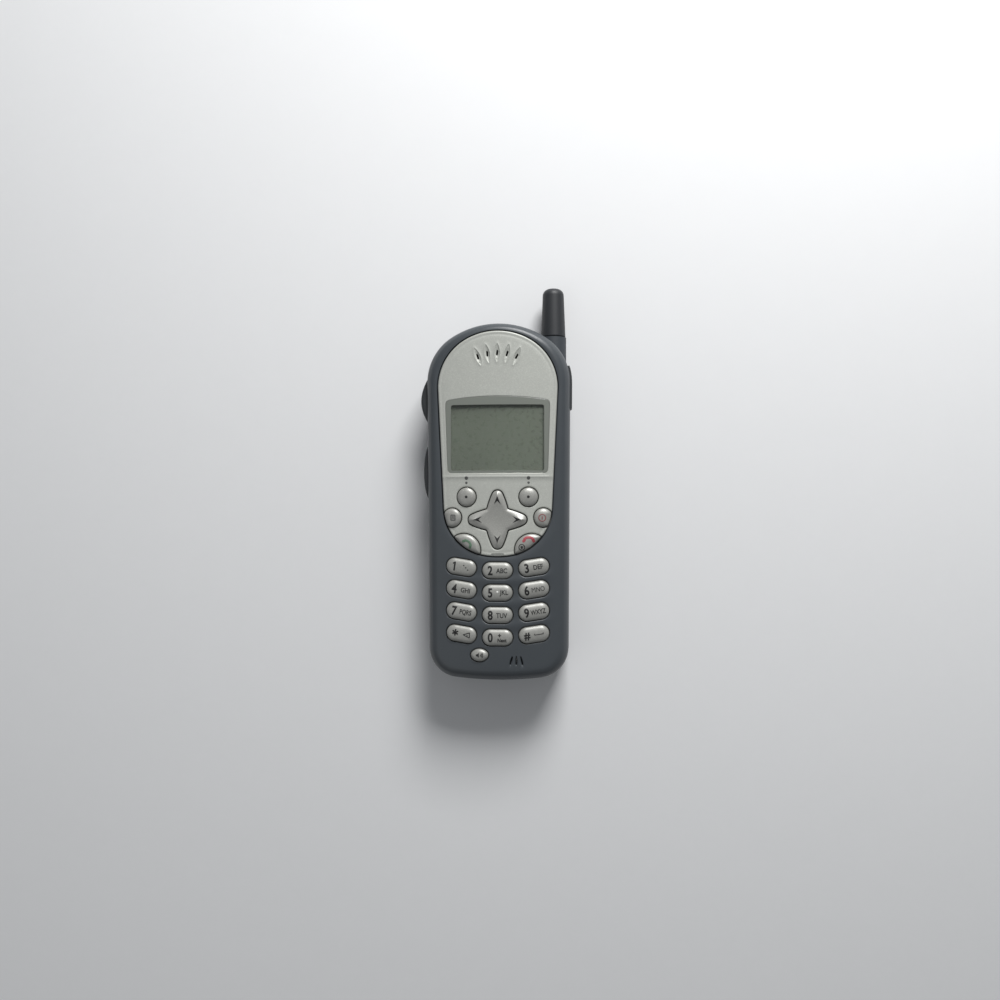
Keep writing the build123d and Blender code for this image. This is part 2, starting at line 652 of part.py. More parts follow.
def make_front_housing():
    """Case front: a rolled frame round the face plate and a crowned keypad panel."""
    shell = column(case_outline(), SPLIT_HEIGHT, FAR) & under_crown(0)
    shell = fillet(top_edges(shell), FRONT_EDGE_RADIUS)
    shell -= column(face_outline(FACE_GAP), 0, FAR) - under_crown(SHELF_TOP)
    shell -= column(case_outline(WALL), 0, FAR) & under_crown(SHELF_UNDER)
    below_display = Pos(0, KEYPAD_TOP_END - 2 * FAR) * Rectangle(2 * FAR, 4 * FAR)
    keypad_region = (case_outline(2 * WALL) & below_display) - face_outline(SHELF_MARGIN)
    shell -= column(keypad_region, 0, FAR) & under_crown(KEYPAD_PANEL)
    shell -= column(front_openings(), 0, FAR)
    shell -= side_key_hole(ROCKER_ENDS)
    shell -= side_key_hole(TALK_ENDS)
    shell -= rod(JACK_HEIGHT, JACK_PORT_RADIUS, x=(JACK_PORT_START, FAR), at=JACK_PLACE)
    ends = (FLAP_ENDS[0] - FLAP_GAP, FLAP_ENDS[1] + FLAP_GAP)
    heights = (FLAP_HEIGHTS[0] - FLAP_GAP, FLAP_HEIGHTS[1] + FLAP_GAP)
    shell -= side_band(FLAP_PROUD, FLAP_SUNK + FLAP_GAP, ends, heights, 1)
    half = CONNECTOR_WIDTH / 2 + CONNECTOR_GAP
    shell -= block((-half, half), (-FAR * 2, CASE_FOOT + 2 * WALL),
                   (0, CONNECTOR_HEIGHTS[1] + CONNECTOR_GAP))
    tops = [SHELF_TOP + SHELF / 2] * len(UPPER_SCREWS) + [KEYPAD_PANEL / 2] * len(LOWER_SCREWS)
    for place, drop in zip(UPPER_SCREWS + LOWER_SCREWS, tops):
        boss = disc(place, SCREW_RADIUS + BOSS_WALL, SPLIT_HEIGHT, FAR)
        shell += boss & under_crown(drop)
        shell -= disc(place, SCREW_RADIUS + SCREW_PLAY, 0, SCREW_TOP + SCREW_TIP_ROOM)
    return shell


def make_key(plan, drop, flange_drop, underside, proud=KEY_PROUD, rounding=KEY_ROUND):
    """A cap that stands out of its hole and the flange that keeps it in."""
    place = key_centre(plan)
    cap = column(plan, underside, FAR) & under_tangent(place, drop - proud)
    cap = fillet(top_edges(cap), rounding)
    wide = column(offset(plan, amount=KEY_FLANGE), underside, FAR)
    return cap + (wide & under_tangent(place, flange_drop))


def make_panel_key(plan):
    """Key of the lower panel, with the plunger that reaches its dome."""
    key = make_key(plan, 0, KEYPAD_PANEL + KEY_RELIEF, FLANGE_HEIGHT)
    return key + disc(key_centre(plan), PLUNGER_RADIUS, PLUNGER_END, FLANGE_HEIGHT)


def make_face_key(plan):
    """Key on the face plate, with the plunger that reaches its dome."""
    key = make_key(plan, FACE_DROP, SHELF_UNDER + KEY_RELIEF, FACE_FLANGE_HEIGHT,
                   rounding=FACE_KEY_ROUND)
    return key + disc(key_centre(plan), PLUNGER_RADIUS, PLUNGER_END, FACE_FLANGE_HEIGHT)


def make_nav_key():
    """Four-way key: a star with bevelled lobes round a dished middle, on four plungers."""
    key = make_key(star_outline(), FACE_DROP, SHELF_UNDER + NAV_FLANGE_DROP, NAV_FLANGE_HEIGHT,
                   NAV_PROUD, NAV_ROUND)
    for place in NAV_PLUNGERS:
        key += disc(place, NAV_PLUNGER_RADIUS, NAV_PLUNGER_END, NAV_FLANGE_HEIGHT)
    socket = NAV_PIVOT_RADIUS + 2 * NAV_PIVOT_GAP
    key -= disc((0, NAV_PLACE), socket, NAV_FLANGE_HEIGHT, NAV_SOCKET_HEIGHT)
    crown = crown_height(0, NAV_PLACE, FACE_DROP - NAV_PROUD)
    ball = Sphere(NAV_DISH_RADIUS)
    return key - Pos(0, NAV_PLACE, crown - NAV_DISH_DEPTH + NAV_DISH_RADIUS) * ball


def make_nav_pivot():
    low = MAT_HEIGHT + MAT_THICKNESS + NAV_PIVOT_GAP
    return disc((0, NAV_PLACE), NAV_PIVOT_RADIUS, low, NAV_SOCKET_HEIGHT - NAV_PIVOT_GAP)


# ---------------------------------------------------------------- inner layers

def leave_room(shape):
    """Keep a layer clear of the screw bosses and of the side keys' flanges."""
    for place in UPPER_SCREWS + LOWER_SCREWS:
        shape -= disc(place, SCREW_RADIUS + BOSS_WALL + BOSS_CLEARANCE, 0, FAR)
    inner = SIDE_FLANGE_X + SIDE_KEY_FLANGE + SIDE_FLANGE_ROOM
    for ends in (ROCKER_ENDS, TALK_ENDS):
        reach = SIDE_FLANGE_REACH + SIDE_FLANGE_ROOM
        shape -= block((-FAR, inner), (ends[0] - reach, ends[1] + reach), (0, FAR))
    return shape


def make_main_board():
    board = column(case_outline(BOARD_INSET), BOARD_HEIGHT, BOARD_TOP)
    board = leave_room(board)
    inner_end = jack_outer_end() - JACK_BODY[0]
    half = JACK_BODY[1] / 2 + JACK_NOTCH_GAP
    notch = block((inner_end - JACK_NOTCH_GAP, FAR), (JACK_PLACE - half, JACK_PLACE + half), (0, FAR))
    return board - notch


def make_dome_sheet():
    low = BOARD_TOP
    region = case_outline(BOARD_INSET) & Pos(0, MAT_TOP_END - FAR) * Rectangle(2 * FAR, 2 * FAR)
    sheet = column(region, low, low + DOME_SHEET)
    for place in plunger_places():
        sheet += disc(place, DOME_RADIUS, low + DOME_SHEET / 2, low + DOME_SHEET + DOME_RISE)
    sheet = leave_room(sheet)
    return sheet - disc(MIC_PLACE, MIC_RADIUS + MIC_BOOT_WALL + MIC_CLEARANCE, 0, FAR)


def make_keypad_mat():
    region = case_outline(BOARD_INSET) & Pos(0, MAT_TOP_END - FAR) * Rectangle(2 * FAR, 2 * FAR)
    mat = column(region, MAT_HEIGHT, MAT_HEIGHT + MAT_THICKNESS)
    for place in plunger_places():
        mat -= disc(place, PLUNGER_RADIUS + PLUNGER_HOLE_GAP, 0, FAR)
    mat = leave_room(mat)
    return mat - disc(MIC_PLACE, MIC_RADIUS + MIC_BOOT_WALL + MIC_CLEARANCE, 0, FAR)


def panel_block(margin_x, margin_y, heights):
    """A box round the middle of the display, larger than the panel by the margins."""
    half, reach = LCD_WIDTH / 2 + margin_x, LCD_LENGTH / 2 + margin_y
    return block((-half, half), (WINDOW_PLACE - reach, WINDOW_PLACE + reach), heights)


def make_lcd_panel():
    return panel_block(0, 0, (LCD_HEIGHT, LCD_HEIGHT + LCD_THICKNESS))


def make_lcd_holder():
    """Moulded tray with the light guide, under the panel and clipped to the board."""
    tray = panel_block(*HOLDER_BORDER, (BOARD_TOP + LAYER_GAP, LCD_HEIGHT + HOLDER_RISE))
    return tray - panel_block(LCD_PLAY, LCD_PLAY, (LCD_HEIGHT - LAYER_GAP, FAR))


def make_display_gasket():
    """Foam frame between the panel and the face plate."""
    inner = WINDOW_MARGIN + GASKET_SET_BACK
    frame = window_outline(inner + GASKET_WIDTH) & panel_opening(GASKET_PLAY)
    frame -= window_outline(inner)
    low = LCD_HEIGHT + LCD_THICKNESS + LAYER_GAP
    return column(frame, low, FAR) & under_crown(SHELF_TOP)


def make_earpiece_mesh():
    """Thin felt behind the earpiece slots."""
    felt = column(Pos(0, EARPIECE_PLACE) * SlotOverall(*FELT_SIZE), 0, FAR)
    return (felt & under_crown(SHELF_UNDER + LAYER_GAP)) - under_crown(SHELF_UNDER + FELT_THICKNESS)


def make_earpiece_speaker():
    place = (0, EARPIECE_PLACE)
    lowest = EARPIECE_PLACE - EARPIECE_RADIUS
    top = crown_height(EARPIECE_RADIUS, lowest, SHELF_UNDER + FELT_THICKNESS) - LAYER_GAP
    cone = disc(place, EARPIECE_RADIUS, top - EARPIECE_DEPTH, top)
    return cone + disc(place, EARPIECE_FOOT_RADIUS, BOARD_TOP + LAYER_GAP, top - EARPIECE_DEPTH)


def make_mic_boot():
    low = BOARD_TOP + LAYER_GAP
    boot = disc(MIC_PLACE, MIC_RADIUS + MIC_BOOT_WALL, low, FAR)
    boot = boot & under_crown(KEYPAD_PANEL + LAYER_GAP)
    boot -= disc(MIC_PLACE, MIC_RADIUS + LAYER_GAP, 0, low + MIC_HEIGHT + LAYER_GAP)
    return boot - disc(MIC_PLACE, MIC_PORT_RADIUS, 0, FAR)


def make_microphone():
    low = BOARD_TOP + LAYER_GAP
    return disc(MIC_PLACE, MIC_RADIUS, low, low + MIC_HEIGHT)


# ---------------------------------------------------------------- side keys

SIDE_X = -(CASE_HALF_WIDTH_TOP + CASE_HALF_WIDTH_FOOT) / 2
SIDE_FLANGE_X = SIDE_X + WALL + SIDE_FLANGE_PLAY


def make_side_key(ends, peak, proud):
    """A rubber key whose outside swells to a peak, with a flange inside the wall."""
    root = SIDE_X + SIDE_KEY_SHOULDER
    swell = make_face([
        Spline((root, ends[0]), (SIDE_X - proud, peak), (root, ends[1]),
               tangents=[(-0.75, 1), (0.75, 1)], tangent_scalars=(0.8, 0.8)),
        Polyline((root, ends[1]), (SIDE_FLANGE_X, ends[1]), (SIDE_FLANGE_X, ends[0]), (root, ends[0])),
    ])
    key = column(swell, SIDE_KEY_LOW, SIDE_KEY_HIGH)
    outline = [edge for edge in key.edges() if edge.center().X < SIDE_X]
    long_edges = [edge for edge in outline if edge.length > (ends[1] - ends[0]) / 2]
    key = fillet(long_edges, SIDE_KEY_ROUND)
    span = (ends[0] - SIDE_FLANGE_REACH, ends[1] + SIDE_FLANGE_REACH)
    flange = block((SIDE_FLANGE_X, SIDE_FLANGE_X + SIDE_KEY_FLANGE), span,
                   (SIDE_KEY_LOW, SIDE_KEY_HIGH))
    return key + flange


def side_switch_places():
    """Two switches under the rocker and one under the talk button."""
    quarter = (ROCKER_ENDS[1] - ROCKER_ENDS[0]) / 4
    middle = (ROCKER_ENDS[1] + ROCKER_ENDS[0]) / 2
    return [middle - quarter, middle + quarter, (TALK_ENDS[0] + TALK_ENDS[1]) / 2]


def make_side_switches():
    start = SIDE_FLANGE_X + SIDE_KEY_FLANGE + TALK_TRAVEL + SWITCH_PLAY
    depth, width, height = SWITCH_SIZE
    top = BOARD_HEIGHT - LAYER_GAP
    return [block((start, start + depth), (y - width / 2, y + width / 2), (top - height, top))
            for y in side_switch_places()]


# ---------------------------------------------------------------- jack, antenna, connector

def jack_outer_end():
    return CASE_HALF_WIDTH_TOP - WALL - JACK_WALL_GAP


def make_headset_jack():
    """Socket on the board, with a round nose that seats in the port of the case side."""
    depth, width, height = JACK_BODY
    outer = jack_outer_end()
    half = width / 2
    body = block((outer - depth, outer), (JACK_PLACE - half, JACK_PLACE + half),
                 (JACK_HEIGHT - height / 2, JACK_HEIGHT + height / 2))
    nose_end = CASE_HALF_WIDTH_TOP - FLAP_SUNK - FLAP_GAP - JACK_NOSE_SET_BACK
    body += rod(JACK_HEIGHT, JACK_NOSE_RADIUS, x=(outer - 1, nose_end), at=JACK_PLACE)
    return body - rod(JACK_HEIGHT, JACK_BORE_RADIUS, x=(outer - JACK_DEPTH, FAR), at=JACK_PLACE)


def make_jack_cover():
    """Rubber flap along the case side, fully rounded at the lower end, where it bends."""
    flap = side_band(FLAP_PROUD, FLAP_SUNK, FLAP_ENDS, FLAP_HEIGHTS, 1)
    upright = flap.edges().filter_by(Axis.Z)
    bent_end = [edge for edge in upright if edge.center().Y < FLAP_ENDS[0] + FLAP_PROUD]
    return fillet(bent_end, (FLAP_PROUD + FLAP_SUNK) / 2 - FLAP_BEND_FLAT)


def make_antenna_whip():
    """Thin rod with a thicker foot that stops it at its bushing."""
    top = BOSS_ENDS[1] + WHIP_SEAT
    whip = rod(ANTENNA_HEIGHT, WHIP_RADIUS, y=(WHIP_END, top), at=ANTENNA_PLACE)
    foot = (WHIP_END, WHIP_END + WHIP_STOP_LENGTH)
    return whip + rod(ANTENNA_HEIGHT, WHIP_STOP_RADIUS, y=foot, at=ANTENNA_PLACE)


def make_antenna_cap():
    """Tapered moulded stub, round in section, with a softly rounded end."""
    start = BOSS_ENDS[1] + SEAM
    profile = Polyline((0, 0), (CAP_RADIUS, 0), (CAP_TIP_RADIUS, CAP_LENGTH), (0, CAP_LENGTH), (0, 0))
    section = make_face(profile)
    corner = [v for v in section.vertices() if v.X > 1 and v.Y > 1]
    section = fillet(corner, CAP_ROUND)
    foot = [v for v in section.vertices() if v.X > 1 and v.Y < 1]
    section = fillet(foot, CAP_FOOT_ROUND)
    cap = revolve(section, Axis.Y)
    cap = Pos(ANTENNA_PLACE, start, ANTENNA_HEIGHT) * cap
    seat = (start - 1, BOSS_ENDS[1] + WHIP_SEAT)
    return cap - rod(ANTENNA_HEIGHT, WHIP_RADIUS, y=seat, at=ANTENNA_PLACE)


def make_antenna_bushing():
    top = BOSS_ENDS[1] - SEAM
    sleeve = rod(ANTENNA_HEIGHT, BUSHING_RADIUS, y=(top - BUSHING_LENGTH, top), at=ANTENNA_PLACE)
    return sleeve - rod(ANTENNA_HEIGHT, WHIP_RADIUS + RUNNING, y=(0, 2 * FAR), at=ANTENNA_PLACE)


def make_accessory_connector():
    low, high = CONNECTOR_HEIGHTS
    half = CONNECTOR_WIDTH / 2
    front = CASE_FOOT + CONNECTOR_SET_BACK
    body = block((-half, half), (front, front + CONNECTOR_DEPTH), (low, high))
    middle = (low + high) / 2
    mouth = block((-SOCKET_SIZE[0] / 2, SOCKET_SIZE[0] / 2), (front - 1, front + SOCKET_DEPTH),
                  (middle - SOCKET_SIZE[1] / 2, middle + SOCKET_SIZE[1] / 2))
    return body - mouth


# ---------------------------------------------------------------- rear pieces

def back_form(inset=0.0):
    """Rear half of the case: the plan outline with a generously rounded back edge."""
    form = column(case_outline(inset), inset, SPLIT_HEIGHT - SEAM)
    rim = form.faces().sort_by(Axis.Z)[0].edges()
    return fillet(rim, BACK_EDGE_RADIUS - inset)


BAY_END = COVER_TOP + COVER_GAP          # lower face of the wall between bay and antenna end
BAY_WALL_END = BAY_END + BAY_WALL
LATCH_EDGES = (LATCH_PLACE - LATCH_BUTTON[1] / 2, LATCH_PLACE + LATCH_BUTTON[1] / 2)
LATCH_UNDER = BACK_WALL + LATCH_LIFT     # the latch slides at this height


def battery_tray():
    """Floor between the battery and the board, with the wall at the upper end of the bay."""
    plan = case_outline(BACK_WALL / 2)
    tray = column(plan, TRAY_HEIGHT, TRAY_HEIGHT + TRAY_THICKNESS)
    tray = tray & block((-FAR, FAR), (-2 * FAR, BAY_WALL_END), (0, FAR))
    wall = block((-FAR, FAR), (BAY_END, BAY_WALL_END), (0, TRAY_HEIGHT + TRAY_THICKNESS))
    return tray + (back_form() & wall)


def antenna_tunnel():
    """Square tunnel for the whip beside the battery, and the round boss at its mouth."""
    low = ANTENNA_HEIGHT - TUNNEL_HALF + TUNNEL_FLOOR
    tunnel = block((ANTENNA_PLACE - TUNNEL_HALF, ANTENNA_PLACE + TUNNEL_HALF),
                   (TUNNEL_END, BAY_WALL_END), (low, TRAY_HEIGHT + TRAY_THICKNESS / 2))
    return tunnel + rod(ANTENNA_HEIGHT, BOSS_RADIUS, y=BOSS_ENDS, at=ANTENNA_PLACE)


def antenna_bores():
    seat = BOSS_ENDS[1] - SEAM - BUSHING_LENGTH
    whip = rod(ANTENNA_HEIGHT, WHIP_BORE_RADIUS, y=(WHIP_END - WALL, seat), at=ANTENNA_PLACE)
    return whip + rod(ANTENNA_HEIGHT, BUSHING_RADIUS, y=(seat, 2 * FAR), at=ANTENNA_PLACE)


def motor_cradle():
    x, y = MOTOR_PLACE
    half = MOTOR_LENGTH / 2 - CRADLE_SET_BACK
    base = block((x - half, x + half), (y - CRADLE_HALF, y + CRADLE_HALF),
                 (BACK_WALL / 2, MOTOR_HEIGHT - CRADLE_DROP))
    return base - rod(MOTOR_HEIGHT, MOTOR_RADIUS + CRADLE_PLAY, x=(x - half, x + half), at=y)


def grille_slots():
    """Upright slots over the loudspeaker, shorter towards the sides."""
    slots = Part()
    for index in range(GRILLE_COUNT):
        aside = (index - (GRILLE_COUNT - 1) / 2) * GRILLE_PITCH
        length = GRILLE_SLOT[1] - abs(aside) * GRILLE_SHORTENING
        x, y = SPEAKER_PLACE
        slots += column(slot_plan(GRILLE_SLOT[0], length, x + aside, y, 0), -1, BACK_WALL + SEAM)
    return slots


def latch_openings():
    """Window for the latch button and the slit that its tongue comes through."""
    half = LATCH_BUTTON[0] / 2 + LATCH_GAP
    span = (LATCH_EDGES[0] - LATCH_GAP, LATCH_EDGES[1] + LATCH_TRAVEL + LATCH_GAP)
    window = block((-half, half), span, (-1, BACK_WALL + SEAM))
    half = LATCH_TONGUE_WIDTH / 2 + LATCH_GAP
    slit = (BACK_WALL, LATCH_UNDER + LATCH_THICKNESS + LATCH_GAP)
    return window + block((-half, half), (COVER_TOP - 1, LATCH_PLACE), slit)


def make_rear_housing():
    """Back shell: open over the battery bay, with tray, antenna tunnel, pillars and grille."""
    outer = back_form()
    inner = back_form(BACK_WALL) + column(case_outline(BACK_WALL), SPLIT_HEIGHT - WALL, FAR)
    shell = outer - inner
    bay = block((-FAR, FAR), (-2 * FAR, BAY_END), (-1, COVER_SEAM_HEIGHT + COVER_GAP))
    shell = shell - bay + battery_tray() + antenna_tunnel()
    for place in UPPER_SCREWS:
        shell += disc(place, SCREW_HEAD_RADIUS + PILLAR_WALL, BACK_WALL / 2, SPLIT_HEIGHT - SEAM)
    shell += motor_cradle()
    shell -= antenna_bores()
    for place in UPPER_SCREWS:
        shell -= disc(place, SCREW_HEAD_RADIUS + SCREW_HEAD_PLAY, -1, UPPER_SEAT)
    for place in UPPER_SCREWS + LOWER_SCREWS:
        shell -= disc(place, SCREW_RADIUS + SCREW_PLAY, 0, FAR)
    return shell - grille_slots() - latch_openings()


def cover_tab(side, y):
    """Guide finger on the cover's side wall, standing up inside the wall of the housing."""
    outer_x = CASE_HALF_WIDTH_FOOT - BACK_WALL - TAB_WALL_GAP
    span = (y - TAB_WIDTH / 2, y + TAB_WIDTH / 2)
    finger = sorted((side * outer_x, side * (outer_x - TAB_THICKNESS)))
    foot = sorted((side * (outer_x - TAB_THICKNESS), side * FAR))
    tab = block(foot, span, (TAB_FOOT, COVER_SEAM_HEIGHT)) & back_form()
    return tab + block(finger, span, (TAB_FOOT, COVER_SEAM_HEIGHT + TAB_RISE))


def make_battery_cover():
    """Sliding cover over the battery, with guide tabs along both sides and a thumb grip."""
    keep = block((-FAR, FAR), (-2 * FAR, COVER_TOP), (-1, COVER_SEAM_HEIGHT))
    cover = (back_form() - back_form(BACK_WALL)) & keep
    for y in TAB_PLACES:
        cover += cover_tab(-1, y)
        if y < TUNNEL_END - TAB_WIDTH:
            cover += cover_tab(1, y)
    for index in range(GRIP_GROOVES):
        plan = Pos(0, GRIP_PLACE - index * GRIP_PITCH) * SlotOverall(GRIP_LENGTH, GRIP_WIDTH)
        cover -= column(plan, -1, GRIP_DEPTH)
    return cover


def make_battery_latch():
    """Flat slide with a button in the back face and a tongue over the edge of the cover."""
    heights = (LATCH_UNDER, LATCH_UNDER + LATCH_THICKNESS)
    half = LATCH_BUTTON[0] / 2
    button = block((-half, half), LATCH_EDGES, (LATCH_SUNK, LATCH_UNDER))
    half = LATCH_FLANGE_WIDTH / 2
    span = (BAY_WALL_END + LATCH_GAP, LATCH_EDGES[1] + LATCH_FLANGE_MARGIN)
    flange = block((-half, half), span, heights)
    half = LATCH_TONGUE_WIDTH / 2
    return button + flange + block((-half, half), (COVER_TOP - LATCH_TONGUE_REACH, LATCH_PLACE), heights)


def make_battery_pack():
    half = BATTERY_WIDTH / 2
    top = TRAY_HEIGHT - BATTERY_PLAY
    pack = block((-half, half), (BATTERY_TOP_END - BATTERY_LENGTH, BATTERY_TOP_END),
                 (BATTERY_BOTTOM, top))
    return fillet(pack.edges().filter_by(Axis.Y), BATTERY_ROUND)


def make_battery_contacts():
    """Block of four spring contacts at the upper end of the bay."""
    width, low = CONTACT_BLOCK
    tip = BATTERY_TOP_END + CONTACT_PLAY
    body = block((-width / 2, width / 2), (tip + CONTACT_SPRING, BAY_END), (low, TRAY_HEIGHT - LAYER_GAP))
    for x in CONTACT_PLACES:
        span = (x - CONTACT_WIDTH / 2, x + CONTACT_WIDTH / 2)
        body += block(span, (tip, tip + CONTACT_SPRING), CONTACT_HEIGHTS)
    return body


SIM_SLOT_TOP = TRAY_HEIGHT - LAYER_GAP - SIM_ROOF


def make_sim_holder():
    """Thin frame under the tray that a card slides into from the right."""
    width, length, height = SIM_HOLDER
    card_width, card_length, card_thickness = SIM_CARD
    frame = block((-width / 2, width / 2), (SIM_PLACE - length / 2, SIM_PLACE + length / 2),
                  (TRAY_HEIGHT - height, TRAY_HEIGHT - LAYER_GAP))
    reach = card_length / 2 + SIM_PLAY
    slot = block((-card_width / 2 - SIM_PLAY, FAR), (SIM_PLACE - reach, SIM_PLACE + reach),
                 (SIM_SLOT_TOP - card_thickness - 2 * LAYER_GAP, SIM_SLOT_TOP))
    half = card_width / 2 - SIM_WINDOW_MARGIN[0]
    reach = card_length / 2 - SIM_WINDOW_MARGIN[1]
    window = block((-half, half), (SIM_PLACE - reach, SIM_PLACE + reach), (0, SIM_SLOT_TOP))
    return frame - slot - window


def make_sim_card():
    width, length, thickness = SIM_CARD
    top = SIM_SLOT_TOP - LAYER_GAP
    return block((-width / 2, width / 2), (SIM_PLACE - length / 2, SIM_PLACE + length / 2),
                 (top - thickness, top))


def make_vibration_motor():
    x, y = MOTOR_PLACE
    return rod(MOTOR_HEIGHT, MOTOR_RADIUS, x=(x - MOTOR_LENGTH / 2, x + MOTOR_LENGTH / 2), at=y)


def make_motor_weight():
    """Half disc on the motor's shaft, hanging down."""
    x, y = MOTOR_PLACE
    start = x + MOTOR_LENGTH / 2 + WEIGHT_PLAY
    stretch = (start, start + WEIGHT_LENGTH)
    lower = block(stretch, (y - WEIGHT_RADIUS, y + WEIGHT_RADIUS), (0, MOTOR_HEIGHT))
    half = rod(MOTOR_HEIGHT, WEIGHT_RADIUS, x=stretch, at=y) & lower
    return half + rod(MOTOR_HEIGHT, WEIGHT_HUB_RADIUS, x=stretch, at=y)


def make_loudspeaker():
    low = BACK_WALL + SPEAKER_SEAT
    return disc(SPEAKER_PLACE, SPEAKER_RADIUS, low, low + SPEAKER_HEIGHT)


def make_shield_can(x, y):
    return block(x, y, (BOARD_HEIGHT - CAN_DEPTH, BOARD_HEIGHT - LAYER_GAP))


def make_backup_cell():
    return disc(CELL_PLACE, CELL_RADIUS, BOARD_HEIGHT - CELL_DEPTH, BOARD_HEIGHT - LAYER_GAP)


def make_screws():
    """Four screws: two go in from the back and two from the battery bay."""
    screws = []
    seats = [UPPER_SEAT] * len(UPPER_SCREWS) + [TRAY_HEIGHT] * len(LOWER_SCREWS)
    for place, seat in zip(UPPER_SCREWS + LOWER_SCREWS, seats):
        head = disc(place, SCREW_HEAD_RADIUS, seat - SCREW_HEAD, seat)
        screws.append(head + disc(place, SCREW_RADIUS, seat, SCREW_TOP))
    return Compound(children=screws)


save(make_face_plate(), "face_plate")
save(make_display_lens(), "display_lens")
save(make_front_housing(), "front_housing")
for name, plan in PANEL_KEYS.items():
    save(make_panel_key(plan), name)
for name, plan in FACE_KEYS.items():
    save(make_face_key(plan), name)
save(make_nav_key(), "nav_key")
save(make_nav_pivot(), "nav_pivot")
save(make_main_board(), "main_board")
save(make_dome_sheet(), "dome_sheet")
save(make_keypad_mat(), "keypad_mat")
save(make_lcd_panel(), "lcd_panel")
save(make_lcd_holder(), "lcd_holder")
save(make_display_gasket(), "display_gasket")
save(make_earpiece_mesh(), "earpiece_mesh")
save(make_earpiece_speaker(), "earpiece_speaker")
save(make_mic_boot(), "mic_boot")
save(make_microphone(), "microphone")
save(make_side_key(ROCKER_ENDS, ROCKER_PEAK, ROCKER_PROUD), "volume_rocker")
save(make_side_key(TALK_ENDS, TALK_PEAK, TALK_PROUD), "talk_button")
save(Compound(children=make_side_switches()), "side_switches")
save(make_headset_jack(), "headset_jack")
save(make_jack_cover(), "jack_cover")
save(make_antenna_whip(), "antenna_whip")
save(make_antenna_cap(), "antenna_cap")
save(make_antenna_bushing(), "antenna_bushing")
save(make_accessory_connector(), "accessory_connector")
save(make_rear_housing(), "rear_housing")
save(make_battery_cover(), "battery_cover")
save(make_battery_latch(), "battery_latch")
save(make_battery_pack(), "battery_pack")
save(make_battery_contacts(), "battery_contacts")
save(make_sim_holder(), "sim_holder")
save(make_sim_card(), "sim_card")
save(make_vibration_motor(), "vibration_motor")
save(make_motor_weight(), "motor_weight")
save(make_loudspeaker(), "loudspeaker")
save(make_shield_can(*UPPER_CAN), "shield_can_upper")
save(make_shield_can(*LOWER_CAN), "shield_can_lower")
save(make_backup_cell(), "backup_cell")
save(make_screws(), "housing_screws")
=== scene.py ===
"""Looks of the bar phone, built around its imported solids.

Shapes are worked out in millimetres in the phone's own frame and scaled to metres as they become
meshes. Every outer surface follows one crown: a wide roll along the phone that falls a little
towards the foot.
"""

import json
from math import acos, atan2, cos, hypot, radians, sin, sqrt, tan

import bpy
import numpy as np
from mathutils import Matrix, Vector
from mathutils.geometry import delaunay_2d_cdt


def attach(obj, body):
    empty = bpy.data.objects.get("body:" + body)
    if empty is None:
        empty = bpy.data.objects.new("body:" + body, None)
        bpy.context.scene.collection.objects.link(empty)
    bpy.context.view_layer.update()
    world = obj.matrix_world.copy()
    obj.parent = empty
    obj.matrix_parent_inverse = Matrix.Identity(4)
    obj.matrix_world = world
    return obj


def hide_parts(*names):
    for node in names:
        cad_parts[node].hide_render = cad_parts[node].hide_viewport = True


MM = 0.001

# Case
CASE_ARCH = dict(top=65.2, top_radius=33.0, shoulder_radius=19.0, half_top=26.4,
                 foot=-65.2, foot_radius=150.0, corner_radius=11.0, half_foot=25.6)
SPLIT_HEIGHT = 12.6
CROWN_HEIGHT, CROWN_PLACE = 25.6, 20.0     # of the front surface, and where it is measured
CROWN_FALL, CROWN_RADIUS = radians(1.5), 130.0
EDGE_ROLL = 4.2            # outer roll of the front housing
INNER_ROLL, INNER_ROLL_DROP = 2.4, 0.35    # the frame also rolls down towards the face plate
WALL = 1.7
KEYPAD_TOP = -12.0         # the keypad panel starts here
KEYPAD_PANEL = 1.8
WAVE_RISE = 0.35           # of the low waves between the rows of number keys
WAVE_FADE = 2.0            # length over which the first and the last wave fade
WAVE_SIDES = (15.0, 22.0)  # the waves fade between these distances from the middle
THIN_INSET = 2 * WALL      # the thin panel starts this far inside the case's outline
WEB_MARGIN = 0.75          # the thick web reaches this far past the plate's recess
WEB_HOLE_ROOM, PANEL_EDGE_REACH = 0.02, 2.0
STEP_SPREAD = 0.03         # a step in a height runs between two rings this far apart
PANEL_OPENING = (38.8, 29.8)
HOLE_ROUND, MIC_SLOT_ROUND = (0.4, 0.25), (0.25, 0.08)     # width and drop of an opening's edge
SOUND_PLACE, SOUND_OPENING = 52.4, (19.0, 4.4)

# Openings in the sides of the case
ROCKER_ENDS, TALK_ENDS = (28.2, 47.0), (0.4, 22.0)
SIDE_KEY_HIGH, SIDE_GAP, SIDE_HOLE_REACH = 18.75, 0.3, 3.0
CUT_LOW = SPLIT_HEIGHT - 5         # well clear of the front housing's lower edge
CONNECTOR_WIDTH, CONNECTOR_HIGH, CONNECTOR_GAP = 19.0, 15.8, 0.2
JACK_PLACE, JACK_HEIGHT, PORT_RADIUS, PORT_START = 44.0, 16.3, 2.4, 20.0
FLAP_ENDS, FLAP_HEIGHTS, FLAP_SUNK, FLAP_GAP = (34.0, 50.0), (13.6, 19.0), 0.75, 0.25
OUTSIDE = 40               # well clear of the case's sides

